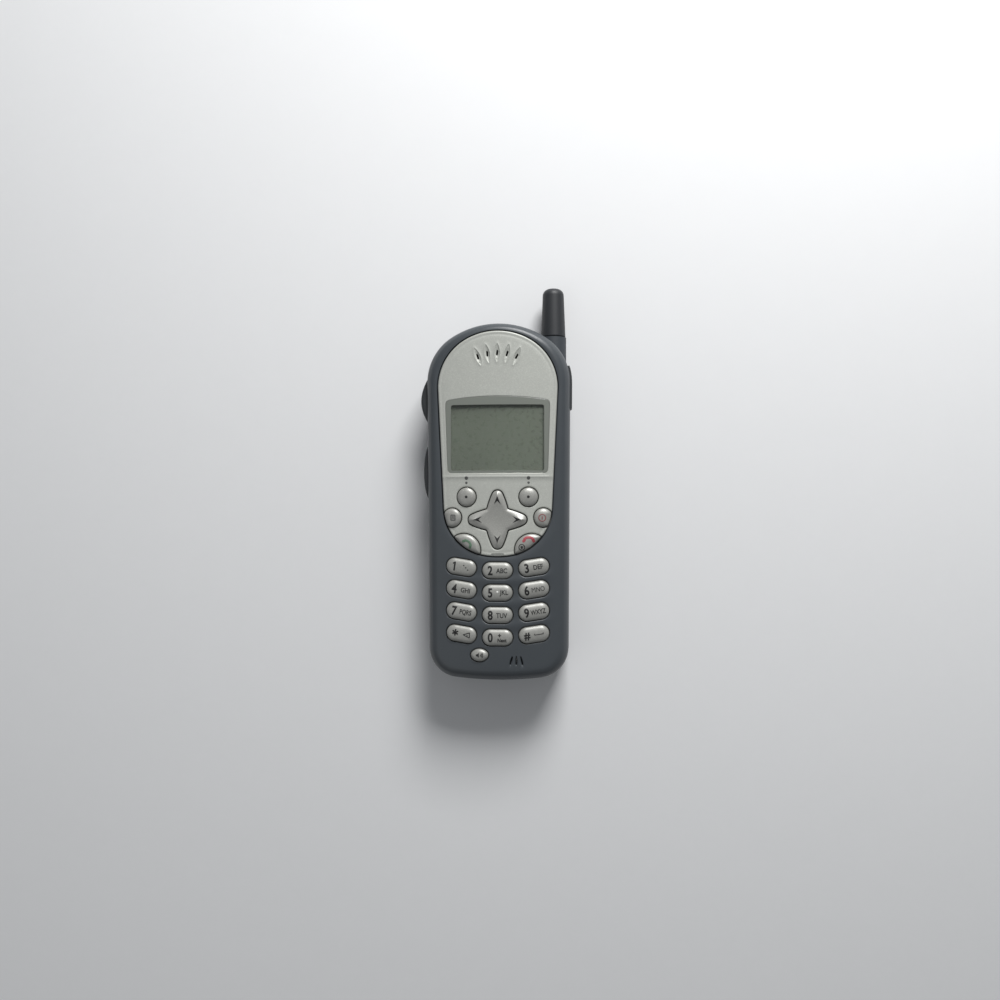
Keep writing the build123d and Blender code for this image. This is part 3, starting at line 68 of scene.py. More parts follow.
# Face plate
FACE_ARCH = dict(top=62.0, top_radius=24.0, shoulder_radius=20.0, half_top=21.9,
                 foot=-20.1, foot_radius=30.0, corner_radius=18.0, half_foot=19.8)
FACE_DROP, FACE_THICKNESS, FACE_GAP, FACE_ROUND = 0.2, 1.6, 0.45, 0.5
SHELF_DROP, SHELF_THICKNESS = 1.9, 1.3     # web of the housing under the plate
CREASE_PLACE = 8.7         # the plate steps down along this line, under the display
CREASE_STEP, CREASE_RUN = 0.16, 1.4
CREASE_HALF_WIDTH, CREASE_EDGE = 19.0, 0.05
CREASE_BEAD, CREASE_BEAD_SHIFT, CREASE_BEAD_SPREAD = 0.13, 0.2, 0.35
NOTCH_HALF_WIDTH, NOTCH_LENGTH, NOTCH_DEPTH, NOTCH_SLOPE = 2.2, 0.95, 0.35, 0.1
RIM_GROOVE, RIM_GROOVE_PLACE, RIM_GROOVE_SPREAD = 0.10, 1.3, 0.35
PLATE_BREAK_ROUND = (0.45, 0.3)    # width and drop of the plate's edge round a key
LENS_SEAT_ROUND = (0.14, 0.05)

# Display
LENS_HALF_TOP, LENS_HALF_FOOT = 19.1, 18.3
LENS_TOP, LENS_ARCH, LENS_FOOT = 36.7, 38.2, 10.2
LENS_ROUND = (0.2, 0.06)           # width and drop of its eased upper edge
LENS_GAP, LENS_THICKNESS, LENS_GLUE = 0.12, 1.1, 0.05
LENS_SEAT = FACE_DROP + LENS_THICKNESS + LENS_GLUE
BORDER_COAT, DISPLAY_GAP = 0.02, 0.06
PIXEL, PIXEL_GAP = 0.30, 0.03
WINDOW_MARGIN = 0.5        # the openings behind the lens are this much larger
WINDOW_PLACE, WINDOW_WIDTH, WINDOW_LENGTH, WINDOW_CORNER = 23.1, 34.0, 24.0, 0.8

# Earpiece petals
PETAL_PLACE, PETAL_FAN_RADIUS, PETAL_STEP = 54.0, 19.0, radians(11.0)
PETAL_SCOOP = (7.4, 2.1, 0.42)     # length, width and depth
PETAL_SLOT = (0.9, 2.2)
PETAL_TIP_SHARE = 0.985    # its outline stops short of the very tips
PETAL_BEAD, PETAL_BEAD_SPREAD = 0.11, 0.34

# Keys
KEY_LENGTH, KEY_WIDTH = 11.0, 5.9
COLUMN_PITCH, ROW_PITCH, FIRST_ROW = 13.2, 8.1, -25.2
SIDE_COLUMN_LIFT, SIDE_COLUMN_TILT = 1.2, radians(9.0)
SOFT_KEY_PLACE, SOFT_KEY_RADIUS = (11.3, 1.5), 3.4
MENU_KEY_PLACE, MENU_KEY_RADIUS = (16.65, -6.0), 3.4
CALL_KEY_PLACE, CALL_KEY_RADIUS = (12.35, -18.0), 6.1
EDGE_KEY_INSET = 0.1       # keys cut by the plate's edge stand this far inside it
MENU_CUT_SHIFT, CALL_CUT_SHIFT = (0.6, 0.0), (0.6, 1.2)    # to the middle of what the cut leaves
SPEAKER_KEY_PLACE, SPEAKER_KEY_SIZE, OVAL_END_SHARE = (-6.6, -55.9), (6.4, 4.6), 0.72
NAV_PLACE, NAV_REACH, NAV_NOTCH = -6.75, 10.6, 3.7
NAV_TIP_RADIUS, NAV_TIP_ANGLE = 1.9, radians(65.0)
DISH_TIP, DISH_CORNER, DISH_DEPTH = 8.5, 3.05, 1.0
DISH_DROP = 0.1            # the tips of the dish lie this far under the tops of the other keys
BEVEL_POWER = 1.35
KEY_GAP, NAV_GAP = 0.32, 0.42
KEY_PROUD = 1.15
KEY_RIM = 0.1              # depth of a key's rim under the surface around it
MIC_PLACE, MIC_PITCH, MIC_SLANT = (6.8, -57.9), 1.9, radians(14.0)
MIC_SLOT = (0.6, 3.2)
MIC_SCOOP, MIC_SCOOP_SHIFT = (4.6, 1.3, 0.4), -0.5
FLANGE = 0.6
PLUNGER = (1.2, 18.1)              # radius, and height of its foot
PANEL_FLANGE = (2.0, 19.2)         # drop of a flange's top under the crown, height of its underside
FACE_FLANGE = (3.35, 20.2)
NAV_FLANGE = (4.15, 19.9)
NAV_SOCKET = (2.5, 20.9)           # radius and roof of the seat of the four-way key's pivot

# Printed legends, and the dark arrowheads on the four-way key
CAPITAL = 0.73             # height of a capital of the built-in type, as a share of its size
DIGIT, DIGIT_PLACE, DIGIT_NARROW, DIGIT_WEIGHT = 3.3, -2.57, 0.80, 0.032
LETTER, LETTER_PLACE, LETTER_SHIFT = 1.8, 1.6, 0.8    # the shift clears the nib of the middle key
LETTER_NARROW, FOUR_NARROW, LETTER_WEIGHT = 0.84, 0.74, 0.02       # four letters are narrower
ARROW_TIP, ARROW_LEG, ARROW_NOTCH, ARROW_HALF_WIDTH = 8.6, 5.6, 6.8, 1.2
DOT_MARKS = ((8.4, 0.65), (6.7, 0.45))     # place along the phone, radius
DOT_MARK_PLACE = 11.35
PRINT_PROUD, PRINT_SUNK = 0.03, 0.05
MARK_STEP = 0.12           # between the points of a drawn line
NIB_RADIUS, NIB_HEIGHT = 0.4, 0.14         # raised nib of the middle key

KEY_ROWS = [["key_1", "key_2", "key_3"], ["key_4", "key_5", "key_6"],
            ["key_7", "key_8", "key_9"], ["key_star", "key_0", "key_hash"]]

STAR_EASING, CUT_EASING, LENS_EASING = 4, 3, 26        # passes that soften an outline's corners

# Rows of mesh points beside an outline, by their distances from it
PLATE_ROWS = (0.04, 0.12, 0.25, 0.45, 0.7, 1.0, 1.3, 1.6)
CASE_ROWS = (0.02, 0.09, 0.2, 0.36, 0.57, 0.84, 1.17, 1.5)
LENS_ROWS = (0.04, 0.12, 0.2, 0.3)
PETAL_ROWS = (-0.25, -0.12, 0.12, 0.28)
KEY_HOLE_ROWS, MIC_ROWS = (0.05, 0.13, 0.25, 0.4), (0.1, 0.25, 0.45, 0.7)
CREASE_ROWS, LENS_SEAT_ROWS, RECESS_ROWS = (0.25, 0.5, 0.8, 1.2), (0.06, 0.16, 0.35), (0.15, 0.4, 0.8, 1.3)
STEP_FOOT_ROWS = (-0.2,)
GRID_ROW, GRID_CLEARANCE = 0.866, 0.45     # of the grid between, as shares of its spacing
ROW_CLEARANCE, OWN_CLEARANCE, LEAST_CLEARANCE = 1.02, 0.9, 0.12    # shares of an offset, and a length
CREASE_CLEARANCE = 0.05    # round a crease without rows
CHUNK = 4000               # points worked on at once

# Camera
CAMERA_TARGET = (0.98, 0.36, 25.0)
CAMERA_DISTANCE, FOCAL_LENGTH = 0.42, 41.65    # in metres, and in millimetres
CAMERA_LEAN = (radians(4.0), radians(2.0))     # towards the right-hand side and the foot

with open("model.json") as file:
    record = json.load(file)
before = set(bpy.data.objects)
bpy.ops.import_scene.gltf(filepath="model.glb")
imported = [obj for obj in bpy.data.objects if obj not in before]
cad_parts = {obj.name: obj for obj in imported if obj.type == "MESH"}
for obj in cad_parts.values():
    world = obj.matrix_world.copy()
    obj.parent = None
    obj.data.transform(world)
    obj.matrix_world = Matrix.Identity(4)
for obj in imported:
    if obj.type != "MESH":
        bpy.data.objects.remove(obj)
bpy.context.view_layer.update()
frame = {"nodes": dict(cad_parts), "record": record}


# ------------------------------------------------------------------ outlines, as rings of points

def around(centre, away, turn):
    """Points in some directions from a centre: the centre plus how far away they are times (cos, sin)."""
    return np.stack([centre[0] + away * np.cos(turn), centre[1] + away * np.sin(turn)], 1)


def arc(centre, radius, start, end, step=0.4):
    """Points of a circular arc, without its last point."""
    count = max(3, int(abs(end - start) * radius / step))
    return around(centre, radius, np.linspace(start, end, count, endpoint=False))


def spaced(line, step, least, with_end):
    """Points about a step apart along a line, no fewer than the least, with or without its end."""
    run = np.concatenate([[0], np.cumsum(np.hypot(*np.diff(line, axis=0).T))])
    where = np.linspace(0, run[-1], max(least, int(run[-1] / step)), endpoint=with_end)
    return np.stack([np.interp(where, run, line[:, k]) for k in (0, 1)], 1)


def even(ring, step):
    """The same closed ring with its points spread evenly along its length."""
    return spaced(np.vstack([ring, ring[:1]]), step, 12, False)


def arch(top, top_radius, shoulder_radius, half_top, foot, foot_radius, corner_radius, half_foot,
         grow=0.0, step=0.5):
    """Wide top arc, two shoulder arcs, straight sides tangent to the shoulders and corners, two
    corner arcs and a wide foot arc; growing adds the same amount to every radius."""
    shoulder_x, corner_x = half_top - shoulder_radius, half_foot - corner_radius
    rise = sqrt((top_radius - shoulder_radius) ** 2 - shoulder_x ** 2)
    fall = sqrt((foot_radius - corner_radius) ** 2 - corner_x ** 2)
    shoulder_y, corner_y = top - top_radius + rise, foot + foot_radius - fall
    span = (corner_x - shoulder_x, corner_y - shoulder_y)
    side = atan2(span[1], span[0]) + acos((shoulder_radius - corner_radius) / hypot(*span))
    top_turn, foot_turn = atan2(rise, shoulder_x), atan2(-fall, corner_x)
    half = np.pi
    pieces = [
        arc((corner_x, corner_y), corner_radius + grow, foot_turn, side),
        arc((shoulder_x, shoulder_y), shoulder_radius + grow, side, top_turn),
        arc((0, top - top_radius), top_radius + grow, top_turn, half - top_turn),
        arc((-shoulder_x, shoulder_y), shoulder_radius + grow, half - top_turn, half - side),
        arc((-corner_x, corner_y), corner_radius + grow, half - side, half - foot_turn),
        arc((0, foot + foot_radius), foot_radius + grow, half - foot_turn, 2 * half + foot_turn),
    ]
    return even(np.vstack(pieces), step)


def grown(ring, amount):
    """A ring moved outwards along its own normals, which are its central differences turned."""
    along = np.roll(ring, -1, 0) - np.roll(ring, 1, 0)
    along /= np.maximum(np.hypot(*along.T), 1e-9)[:, None]
    return ring + amount * np.stack([along[:, 1], -along[:, 0]], 1)


def placed(ring, x=0.0, y=0.0, turn=0.0):
    """A ring turned about the origin, then moved."""
    spin = np.array([[cos(turn), -sin(turn)], [sin(turn), cos(turn)]])
    return ring @ spin.T + (x, y)


def circle(x, y, radius, step=0.35):
    """A circle as an even ring."""
    return even(arc((x, y), radius, 0, 2 * np.pi, step), step)


def stadium(length, width, step=0.35):
    """Two half circles joined by straight sides, along X."""
    half, radius = (length - width) / 2, width / 2
    ends = [arc((half, 0), radius, -np.pi / 2, np.pi / 2), arc((-half, 0), radius, np.pi / 2, 1.5 * np.pi)]
    return even(np.vstack(ends), step)


def oval(length, width, step=0.35):
    """Four-arc oval: small end arcs that run smoothly into wide side arcs."""
    half, rise = length / 2, width / 2
    end = OVAL_END_SHARE * rise
    side = ((half - end) ** 2 + rise ** 2 - end ** 2) / (2 * (rise - end))
    swing = atan2(side - rise, half - end)
    return even(np.vstack([
        arc((half - end, 0), end, -swing, swing), arc((0, rise - side), side, swing, np.pi - swing),
        arc((end - half, 0), end, np.pi - swing, np.pi + swing),
        arc((0, side - rise), side, np.pi + swing, 2 * np.pi - swing)]), step)


def softened(ring, passes):
    """Corners eased by averaging each point with its neighbours, a few times over."""
    for _ in range(passes):
        ring = (np.roll(ring, 1, 0) + 2 * ring + np.roll(ring, -1, 0)) / 4
    return ring


def star():
    """Four leaf-shaped lobes: a tip arc and two flank arcs tangent to it, meeting in notches."""
    centre = NAV_REACH - NAV_TIP_RADIUS
    tip = arc((centre, 0), NAV_TIP_RADIUS, -NAV_TIP_ANGLE, NAV_TIP_ANGLE, 0.1)
    start = np.array([centre + NAV_TIP_RADIUS * cos(NAV_TIP_ANGLE), NAV_TIP_RADIUS * sin(NAV_TIP_ANGLE)])
    inward = np.array([-cos(NAV_TIP_ANGLE), -sin(NAV_TIP_ANGLE)])
    chord = np.array([NAV_NOTCH, NAV_NOTCH]) - start
    radius = chord @ chord / (2 * chord @ inward)
    middle = start + inward * radius
    turn_a = atan2(*(start - middle)[::-1])
    turn_b = atan2(NAV_NOTCH - middle[1], NAV_NOTCH - middle[0])
    flank = arc(middle, abs(radius), turn_a, turn_b, 0.1)
    lobe = np.vstack([flank[::-1] * (1, -1), tip, flank])
    ring = np.vstack([placed(lobe, turn=quarter * np.pi / 2) for quarter in range(4)])
    return placed(softened(even(ring, 0.3), STAR_EASING), 0, NAV_PLACE)


def reach(outline, centre, turn):
    """How far an outline lies from a centre in each direction."""
    offset = outline - centre
    angle = np.arctan2(offset[:, 1], offset[:, 0])
    return np.interp(turn, angle, np.hypot(*offset.T), period=2 * np.pi)


def dish_reach(turn):
    """Reach of the four-way key's dish: straight edges from its tips to its inner corners, as
    1 / (cos t / a + sin t / b) with the direction folded into an eighth of a turn."""
    folded = np.abs((turn + np.pi / 4) % (np.pi / 2) - np.pi / 4)
    across = DISH_CORNER / (1 - DISH_CORNER / DISH_TIP)
    return 1 / (np.cos(folded) / DISH_TIP + np.sin(folded) / across)


def cut_by(ring, limit, centre):
    """What two outlines round the same centre share: at each angle the nearer of the two."""
    turn = np.linspace(0, 2 * np.pi, 160, endpoint=False)
    near = np.minimum(reach(ring, centre, turn), reach(limit, centre, turn))
    return softened(even(around(centre, near, turn), 0.3), CUT_EASING)


def lens_ring(grow=0.0):
    """Straight foot, leaning sides and an arched top, with eased corners."""
    bow = (LENS_HALF_TOP ** 2 + (LENS_ARCH - LENS_TOP) ** 2) / (2 * (LENS_ARCH - LENS_TOP))
    swing = np.arcsin(LENS_HALF_TOP / bow)
    top = arc((0, LENS_ARCH - bow), bow, np.pi / 2 - swing, np.pi / 2 + swing)
    corners = np.array([[-LENS_HALF_FOOT, LENS_FOOT], [LENS_HALF_FOOT, LENS_FOOT]])
    ring = even(np.vstack([top, [[-LENS_HALF_TOP, LENS_TOP]], corners]), 0.3)
    return grown(softened(ring, LENS_EASING), grow)


def window_ring(grow=0.0):
    """Rectangle of the window with a quarter circle at each corner."""
    half, rise = WINDOW_WIDTH / 2 + grow, WINDOW_LENGTH / 2 + grow
    corner = WINDOW_CORNER + max(grow, 0)
    ring = [arc((sx * (half - corner), sy * (rise - corner)), corner, turn, turn + np.pi / 2, 0.2)
            for sx, sy, turn in ((1, 1, 0), (-1, 1, np.pi / 2), (-1, -1, np.pi), (1, -1, 1.5 * np.pi))]
    return placed(even(np.vstack(ring), 0.4), 0, WINDOW_PLACE)


def petals():
    """Place and lean of each earpiece petal on its fan."""
    for index in range(-2, 3):
        lean = -index * PETAL_STEP
        yield (-PETAL_FAN_RADIUS * sin(lean), PETAL_PLACE - PETAL_FAN_RADIUS * (1 - cos(lean)), lean)


def number_key_place(name):
    """Centre and tilt of a number key."""
    for row, names in enumerate(KEY_ROWS):
        if name in names:
            side = names.index(name) - 1
            lift = SIDE_COLUMN_LIFT * abs(side)
            return side * COLUMN_PITCH, FIRST_ROW - row * ROW_PITCH + lift, side * SIDE_COLUMN_TILT


def key_rings():
    """Outline of every key on the front."""
    rings = {}
    for names in KEY_ROWS:
        for name in names:
            rings[name] = placed(stadium(KEY_LENGTH, KEY_WIDTH), *number_key_place(name))
    rings["speaker_key"] = placed(oval(*SPEAKER_KEY_SIZE), *SPEAKER_KEY_PLACE)
    edge = arch(**FACE_ARCH, grow=-EDGE_KEY_INSET)
    for side, soft, *cut_keys in ((-1, "soft_key_left", "menu_key", "send_key"),
                                  (1, "soft_key_right", "power_key", "end_key")):
        rings[soft] = circle(side * SOFT_KEY_PLACE[0], SOFT_KEY_PLACE[1], SOFT_KEY_RADIUS)
        for name, (x, y), radius, (inward, upward) in zip(
                cut_keys, (MENU_KEY_PLACE, CALL_KEY_PLACE), (MENU_KEY_RADIUS, CALL_KEY_RADIUS),
                (MENU_CUT_SHIFT, CALL_CUT_SHIFT)):
            centre = (side * x - side * inward, y + upward)
            rings[name] = cut_by(circle(side * x, y, radius), edge, centre)
    rings["nav_key"] = star()
    return rings


KEYS = key_rings()
FACE_KEYS = ["soft_key_left", "soft_key_right", "menu_key", "power_key", "send_key", "end_key"]
PANEL_KEYS = [name for names in KEY_ROWS for name in names] + ["speaker_key"]


# ------------------------------------------------------------------ fields over the plan

def distance(points, ring):
    """Shortest distance from each point to a closed ring, segment by segment, in whole arrays."""
    start, span = ring, np.roll(ring, -1, 0) - ring
    length = np.maximum((span ** 2).sum(1), 1e-12)
    out = np.empty(len(points))
    for low in range(0, len(points), CHUNK):
        part = points[low:low + CHUNK, None, :] - start[None]
        share = np.clip((part * span).sum(2) / length, 0, 1)
        gap = part - share[:, :, None] * span
        out[low:low + CHUNK] = np.sqrt((gap ** 2).sum(2).min(1))
    return out


def inside(points, ring):
    """Whether each point lies in a closed ring, by counting crossings of a ray along +X."""
    x, y = points[:, 0, None], points[:, 1, None]
    ax, ay = ring[None, :, 0], ring[None, :, 1]
    bx, by = np.roll(ax, -1, 1), np.roll(ay, -1, 1)
    hit = np.zeros(len(points), bool)
    for low in range(0, len(points), CHUNK):
        part = slice(low, low + CHUNK)
        spans = (ay > y[part]) != (by > y[part])
        cross = ax + (y[part] - ay) * (bx - ax) / np.where(by == ay, 1e-12, by - ay)
        hit[part] = (spans & (x[part] < cross)).sum(1) % 2 == 1
    return hit


def crown(x, y, drop=0.0):
    """Height of the front surface sunk by drop: a circle of the crown's radius across the phone,
    on an axis that falls towards the foot."""
    cross = np.sqrt((CROWN_RADIUS - drop) ** 2 - np.asarray(x) ** 2) - CROWN_RADIUS
    return CROWN_HEIGHT + (np.asarray(y) - CROWN_PLACE) * tan(CROWN_FALL) + cross / cos(CROWN_FALL)


def roll_off(gap, width, depth=None):
    """Drop near an edge: a quarter ellipse, full depth at the edge and nothing past its width."""
    share = np.clip(gap / width, 0, 1)
    return (width if depth is None else depth) * (1 - np.sqrt(1 - (1 - share) ** 2))


def smooth_step(value, low, high):
    """Nothing up to low, all from high on, and 3 s^2 - 2 s^3 between."""
    share = np.clip((value - low) / (high - low), 0, 1)
    return share * share * (3 - 2 * share)


# ------------------------------------------------------------------ meshes

def added(name, data):
    """A new object in the scene, for a mesh, a curve, a lamp or a camera."""
    thing = bpy.data.objects.new(name, data)
    bpy.context.scene.collection.objects.link(thing)
    return thing


def mesh_of(name, points, faces):
    """A mesh from points in millimetres and lists of corner numbers."""
    mesh = bpy.data.meshes.new(name)
    mesh.from_pydata((np.asarray(points) * MM).tolist(), [], [list(map(int, f)) for f in faces])
    return mesh


def mesh_piece(name, points, faces, body, material):
    """A smooth piece that rides on a body."""
    mesh = mesh_of(name, points, faces)
    mesh.validate()
    piece = added(name, mesh)
    mesh.polygons.foreach_set("use_smooth", [True] * len(mesh.polygons))
    mesh.materials.append(material)
    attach(piece, body)
    return piece


def sharp_shading(piece, angle):
    """Smooth shading with the edges sharper than the angle left crisp."""
    piece.data.set_sharp_from_angle(angle=radians(angle))
    return piece


def well_inside(points, rings, open_rings, least, own=None):
    """Which points lie in the first ring and outside the holes, and further from every ring than
    its least distance. Beside its own ring a row of points may lie on either side."""
    good = np.ones(len(points), bool)
    for k, ring in enumerate(rings):
        if k < open_rings and k != own:
            good[good] &= inside(points[good], ring) == (k == 0)
        good[good] &= distance(points[good], ring) > least[k]
    return good


def facing_up(plan, triangles):
    """Triangles turned to face up, and twice their areas."""
    a, b, c = (plan[triangles[:, k]] for k in range(3))
    area = np.cross(b - a, c - a)
    triangles[area < 0] = triangles[area < 0][:, ::-1]
    return triangles, np.abs(area)


def triangulated(lines, extra, rings):
    """Triangles between the points of some lines and some more, with an edge along every line.
    Those in the first ring and outside the holes are kept, and turned to face up."""
    edges, first = [], 0
    for line in lines:
        count = len(line)
        edges += [(first + i, first + (i + 1) % count) for i in range(count)]
        first += count
    got = delaunay_2d_cdt([Vector(p) for p in np.vstack(lines + extra)], edges, [], 0, 1e-5)
    plan, triangles = np.array([tuple(v) for v in got[0]]), np.array([f for f in got[2]])
    middle = plan[triangles].mean(1)
    good = inside(middle, rings[0])
    for ring in rings[1:]:
        good &= ~inside(middle, ring)
    return plan, facing_up(plan, triangles[good])[0]


def plan_mesh(rings, spacing, fine, creases=()):
    """Triangles over a plan with holes. The first ring bounds it and the others are holes.
    Points lie on the rings and creases, on rows of fine offsets beside each, and on a grid
    between. A crease is a (ring, fine) pair that the surface bends at without being open."""
    lines, count = rings + [ring for ring, _ in creases], len(rings)
    widths = [max(gaps) for gaps in fine]
    widths += [max([abs(gap) for gap in gaps] + [CREASE_CLEARANCE]) for _, gaps in creases]
    low, high = rings[0].min(0), rings[0].max(0)
    grid = np.stack(np.meshgrid(np.arange(low[0], high[0], spacing),
                                np.arange(low[1], high[1], spacing * GRID_ROW)), 2)
    grid[1::2, :, 0] += spacing / 2
    grid = grid.reshape(-1, 2)
    clear = [width + GRID_CLEARANCE * spacing for width in widths]
    extra = [grid[well_inside(grid, lines, count, clear)]]
    rows = [(k, -gap if k == 0 else gap) for k in range(count) for gap in fine[k]]
    rows += [(count + number, gap) for number, (_, gaps) in enumerate(creases) for gap in gaps]
    for own, move in rows:
        row, gap = grown(lines[own], move), abs(move)
        least = [max(LEAST_CLEARANCE, min(width, gap)) * ROW_CLEARANCE for width in widths]
        least[own] = OWN_CLEARANCE * gap
        extra.append(row[well_inside(row, lines, count, least, own)])
    return triangulated(lines, extra, rings)


def edges_of(triangles):
    """The first, the second and the third edges of all triangles."""
    return np.vstack([triangles[:, [0, 1]], triangles[:, [1, 2]], triangles[:, [2, 0]]])


def thickened(plan, triangles, top, under):
    """Points and faces of a closed sheet over a flat triangle mesh: a top, an underside, and a
    wall along every boundary edge, which is an edge that only one triangle uses."""
    used = np.unique(triangles)
    renumber = np.full(len(plan), -1)
    renumber[used] = np.arange(len(used))
    plan, triangles, count = plan[used], renumber[triangles], len(used)
    edges = edges_of(triangles)
    codes = edges[:, 0] * count + edges[:, 1]
    open_edges = edges[~np.isin(codes, edges[:, 1] * count + edges[:, 0])]
    walls = np.column_stack([open_edges + count, open_edges[:, ::-1]])
    points = np.vstack([np.column_stack([plan, top(plan)]), np.column_stack([plan, under(plan)])])
    return points, [*triangles, *(triangles[:, ::-1] + count), *walls]


def moulding(name, rings, top, under, body, material, spacing, fine, creases=(), angle=35.0):
    """A closed moulding over a plan with holes: a top surface and an underside, each a height
    over the plan, joined by walls along every ring."""
    plan, triangles = plan_mesh(rings, spacing, fine, creases)
    points, faces = thickened(plan, triangles, top, under)
    return sharp_shading(mesh_piece(name, points, faces, body, material), angle)


def drawn_in(ring, target, shares):
    """Copies of a ring moved by shares of the way to a point or another ring, the furthest first."""
    return [ring + (target - ring) * share for share in reversed(shares)]


def round_trip(count):
    """The numbers of a ring's points, and of the point after each."""
    here = np.arange(count)
    return here, np.roll(here, -1)


def cap_piece(name, flats, centre, height, below, body, material):
    """A closed key: rings round a centre, the smallest first, raised to a height over the plan, then
    the (ring, height) rows below its rim, down to a flat foot. Row k joins row k + 1 by quads."""
    count = len(flats[0])
    rows = [np.column_stack([flat, height(flat)]) for flat in flats]
    rows += [np.column_stack([flat, np.broadcast_to(level, count)]) for flat, level in below]
    middle = np.array([centre])
    summit = np.column_stack([middle, height(middle)])
    foot = np.column_stack([middle, [rows[-1][:, 2].mean()]])
    points = np.vstack([summit, *rows, foot])
    here, following = round_trip(count)
    faces = list(np.stack([here + 1, following + 1, np.zeros(count, int)], 1))
    for row in range(len(rows) - 1):
        inner, outer = 1 + row * count, 1 + (row + 1) * count
        faces += list(np.stack([here + outer, following + outer, following + inner, here + inner], 1))
    last = 1 + (len(rows) - 1) * count
    faces += list(np.stack([following + last, here + last, np.full(count, len(points) - 1)], 1))
    return sharp_shading(mesh_piece(name, points, faces, body, material), 50)


# ------------------------------------------------------------------ materials

def group(name, inputs, outputs):
    """An empty shader node group with named inputs and outputs."""
    tree = bpy.data.node_groups.new(name, "ShaderNodeTree")
    for label, kind, value in inputs:
        socket = tree.interface.new_socket(label, in_out="INPUT", socket_type=kind)
        socket.default_value = value
    for label, kind in outputs:
        tree.interface.new_socket(label, in_out="OUTPUT", socket_type=kind)
    return tree, tree.nodes.new("NodeGroupInput"), tree.nodes.new("NodeGroupOutput")


def feed(tree, socket, value):
    """Set a socket to a number, or link another socket to it."""
    if isinstance(value, (int, float)):
        socket.default_value = value
    else:
        tree.links.new(value, socket)


def math_node(tree, operation, *values):
    """A sum, product or power of numbers and sockets."""
    node = tree.nodes.new("ShaderNodeMath")
    node.operation = operation
    for socket, value in zip(node.inputs, values):
        feed(tree, socket, value)
    return node.outputs[0]


def swing_about_half(tree, value, amount):
    """How far a value lies from a half, times an amount."""
    return math_node(tree, "MULTIPLY", math_node(tree, "SUBTRACT", value, 0.5), amount)


def scaled_colour(tree, colour, value, operation="SCALE", socket="Scale"):
    """A colour times a value, or times another colour."""
    node = tree.nodes.new("ShaderNodeVectorMath")
    node.operation = operation
    tree.links.new(colour, node.inputs[0])
    tree.links.new(value, node.inputs[socket])
    return node.outputs[0]


def noise(tree, where, scale, detail=2.0, roughness=0.5):
    """Noise between nothing and one, over a place."""
    node = tree.nodes.new("ShaderNodeTexNoise")
    node.inputs["Detail"].default_value = detail
    node.inputs["Roughness"].default_value = roughness
    tree.links.new(where, node.inputs["Vector"])
    feed(tree, node.inputs["Scale"], scale)
    return node.outputs["Fac"]


def paint_group():
    """Metal flake paint: soft mottling of the colour, small bright flakes and a fine orange peel."""
    tree, given, out = group("flake_paint", [
        ("Vector", "NodeSocketVector", (0, 0, 0)), ("Colour", "NodeSocketColor", (0.5, 0.5, 0.5, 1)),
        ("Mottle", "NodeSocketFloat", 0.06), ("Flakes", "NodeSocketFloat", 0.2),
        ("Flake Scale", "NodeSocketFloat", 6000.0), ("Roughness", "NodeSocketFloat", 0.4)],
        [("Colour", "NodeSocketColor"), ("Roughness", "NodeSocketFloat"), ("Height", "NodeSocketFloat")])
    where = given.outputs["Vector"]
    cloud = noise(tree, where, 160.0, 3.0)
    cells = tree.nodes.new("ShaderNodeTexVoronoi")
    tree.links.new(where, cells.inputs["Vector"])
    tree.links.new(given.outputs["Flake Scale"], cells.inputs["Scale"])
    split = tree.nodes.new("ShaderNodeSeparateColor")
    tree.links.new(cells.outputs["Color"], split.inputs[0])
    flake = math_node(tree, "POWER", split.outputs[0], 3.0)
    lift = math_node(tree, "MULTIPLY", flake, given.outputs["Flakes"])
    shift = swing_about_half(tree, cloud, given.outputs["Mottle"])
    value = math_node(tree, "ADD", math_node(tree, "ADD", 1.0, shift), lift)
    tree.links.new(scaled_colour(tree, given.outputs["Colour"], value), out.inputs["Colour"])
    spread = swing_about_half(tree, split.outputs[1], 0.12)
    tree.links.new(math_node(tree, "ADD", given.outputs["Roughness"], spread), out.inputs["Roughness"])
    peel = noise(tree, where, 1500.0, 2.0)
    tree.links.new(math_node(tree, "ADD", math_node(tree, "MULTIPLY", split.outputs[2], 0.4), peel),
                   out.inputs["Height"])
    return tree


def grain_group():
    """Moulded plastic or rubber: spark-eroded grain, soft mottling and faintly uneven gloss."""
    tree, given, out = group("moulded_grain", [
        ("Vector", "NodeSocketVector", (0, 0, 0)), ("Colour", "NodeSocketColor", (0.1, 0.1, 0.1, 1)),
        ("Mottle", "NodeSocketFloat", 0.1), ("Grain Scale", "NodeSocketFloat", 3000.0),
        ("Roughness", "NodeSocketFloat", 0.5)],
        [("Colour", "NodeSocketColor"), ("Roughness", "NodeSocketFloat"), ("Height", "NodeSocketFloat")])
    where = given.outputs["Vector"]
    cloud = noise(tree, where, 90.0, 3.0)
    pits = noise(tree, where, given.outputs["Grain Scale"], 3.0, 0.6)
    shift = swing_about_half(tree, cloud, given.outputs["Mottle"])
    fleck = swing_about_half(tree, pits, given.outputs["Mottle"])
    value = math_node(tree, "ADD", math_node(tree, "ADD", 1.0, shift), fleck)
    tree.links.new(scaled_colour(tree, given.outputs["Colour"], value), out.inputs["Colour"])
    spread = swing_about_half(tree, pits, 0.3)
    tree.links.new(math_node(tree, "ADD", given.outputs["Roughness"], spread), out.inputs["Roughness"])
    tree.links.new(pits, out.inputs["Height"])
    return tree


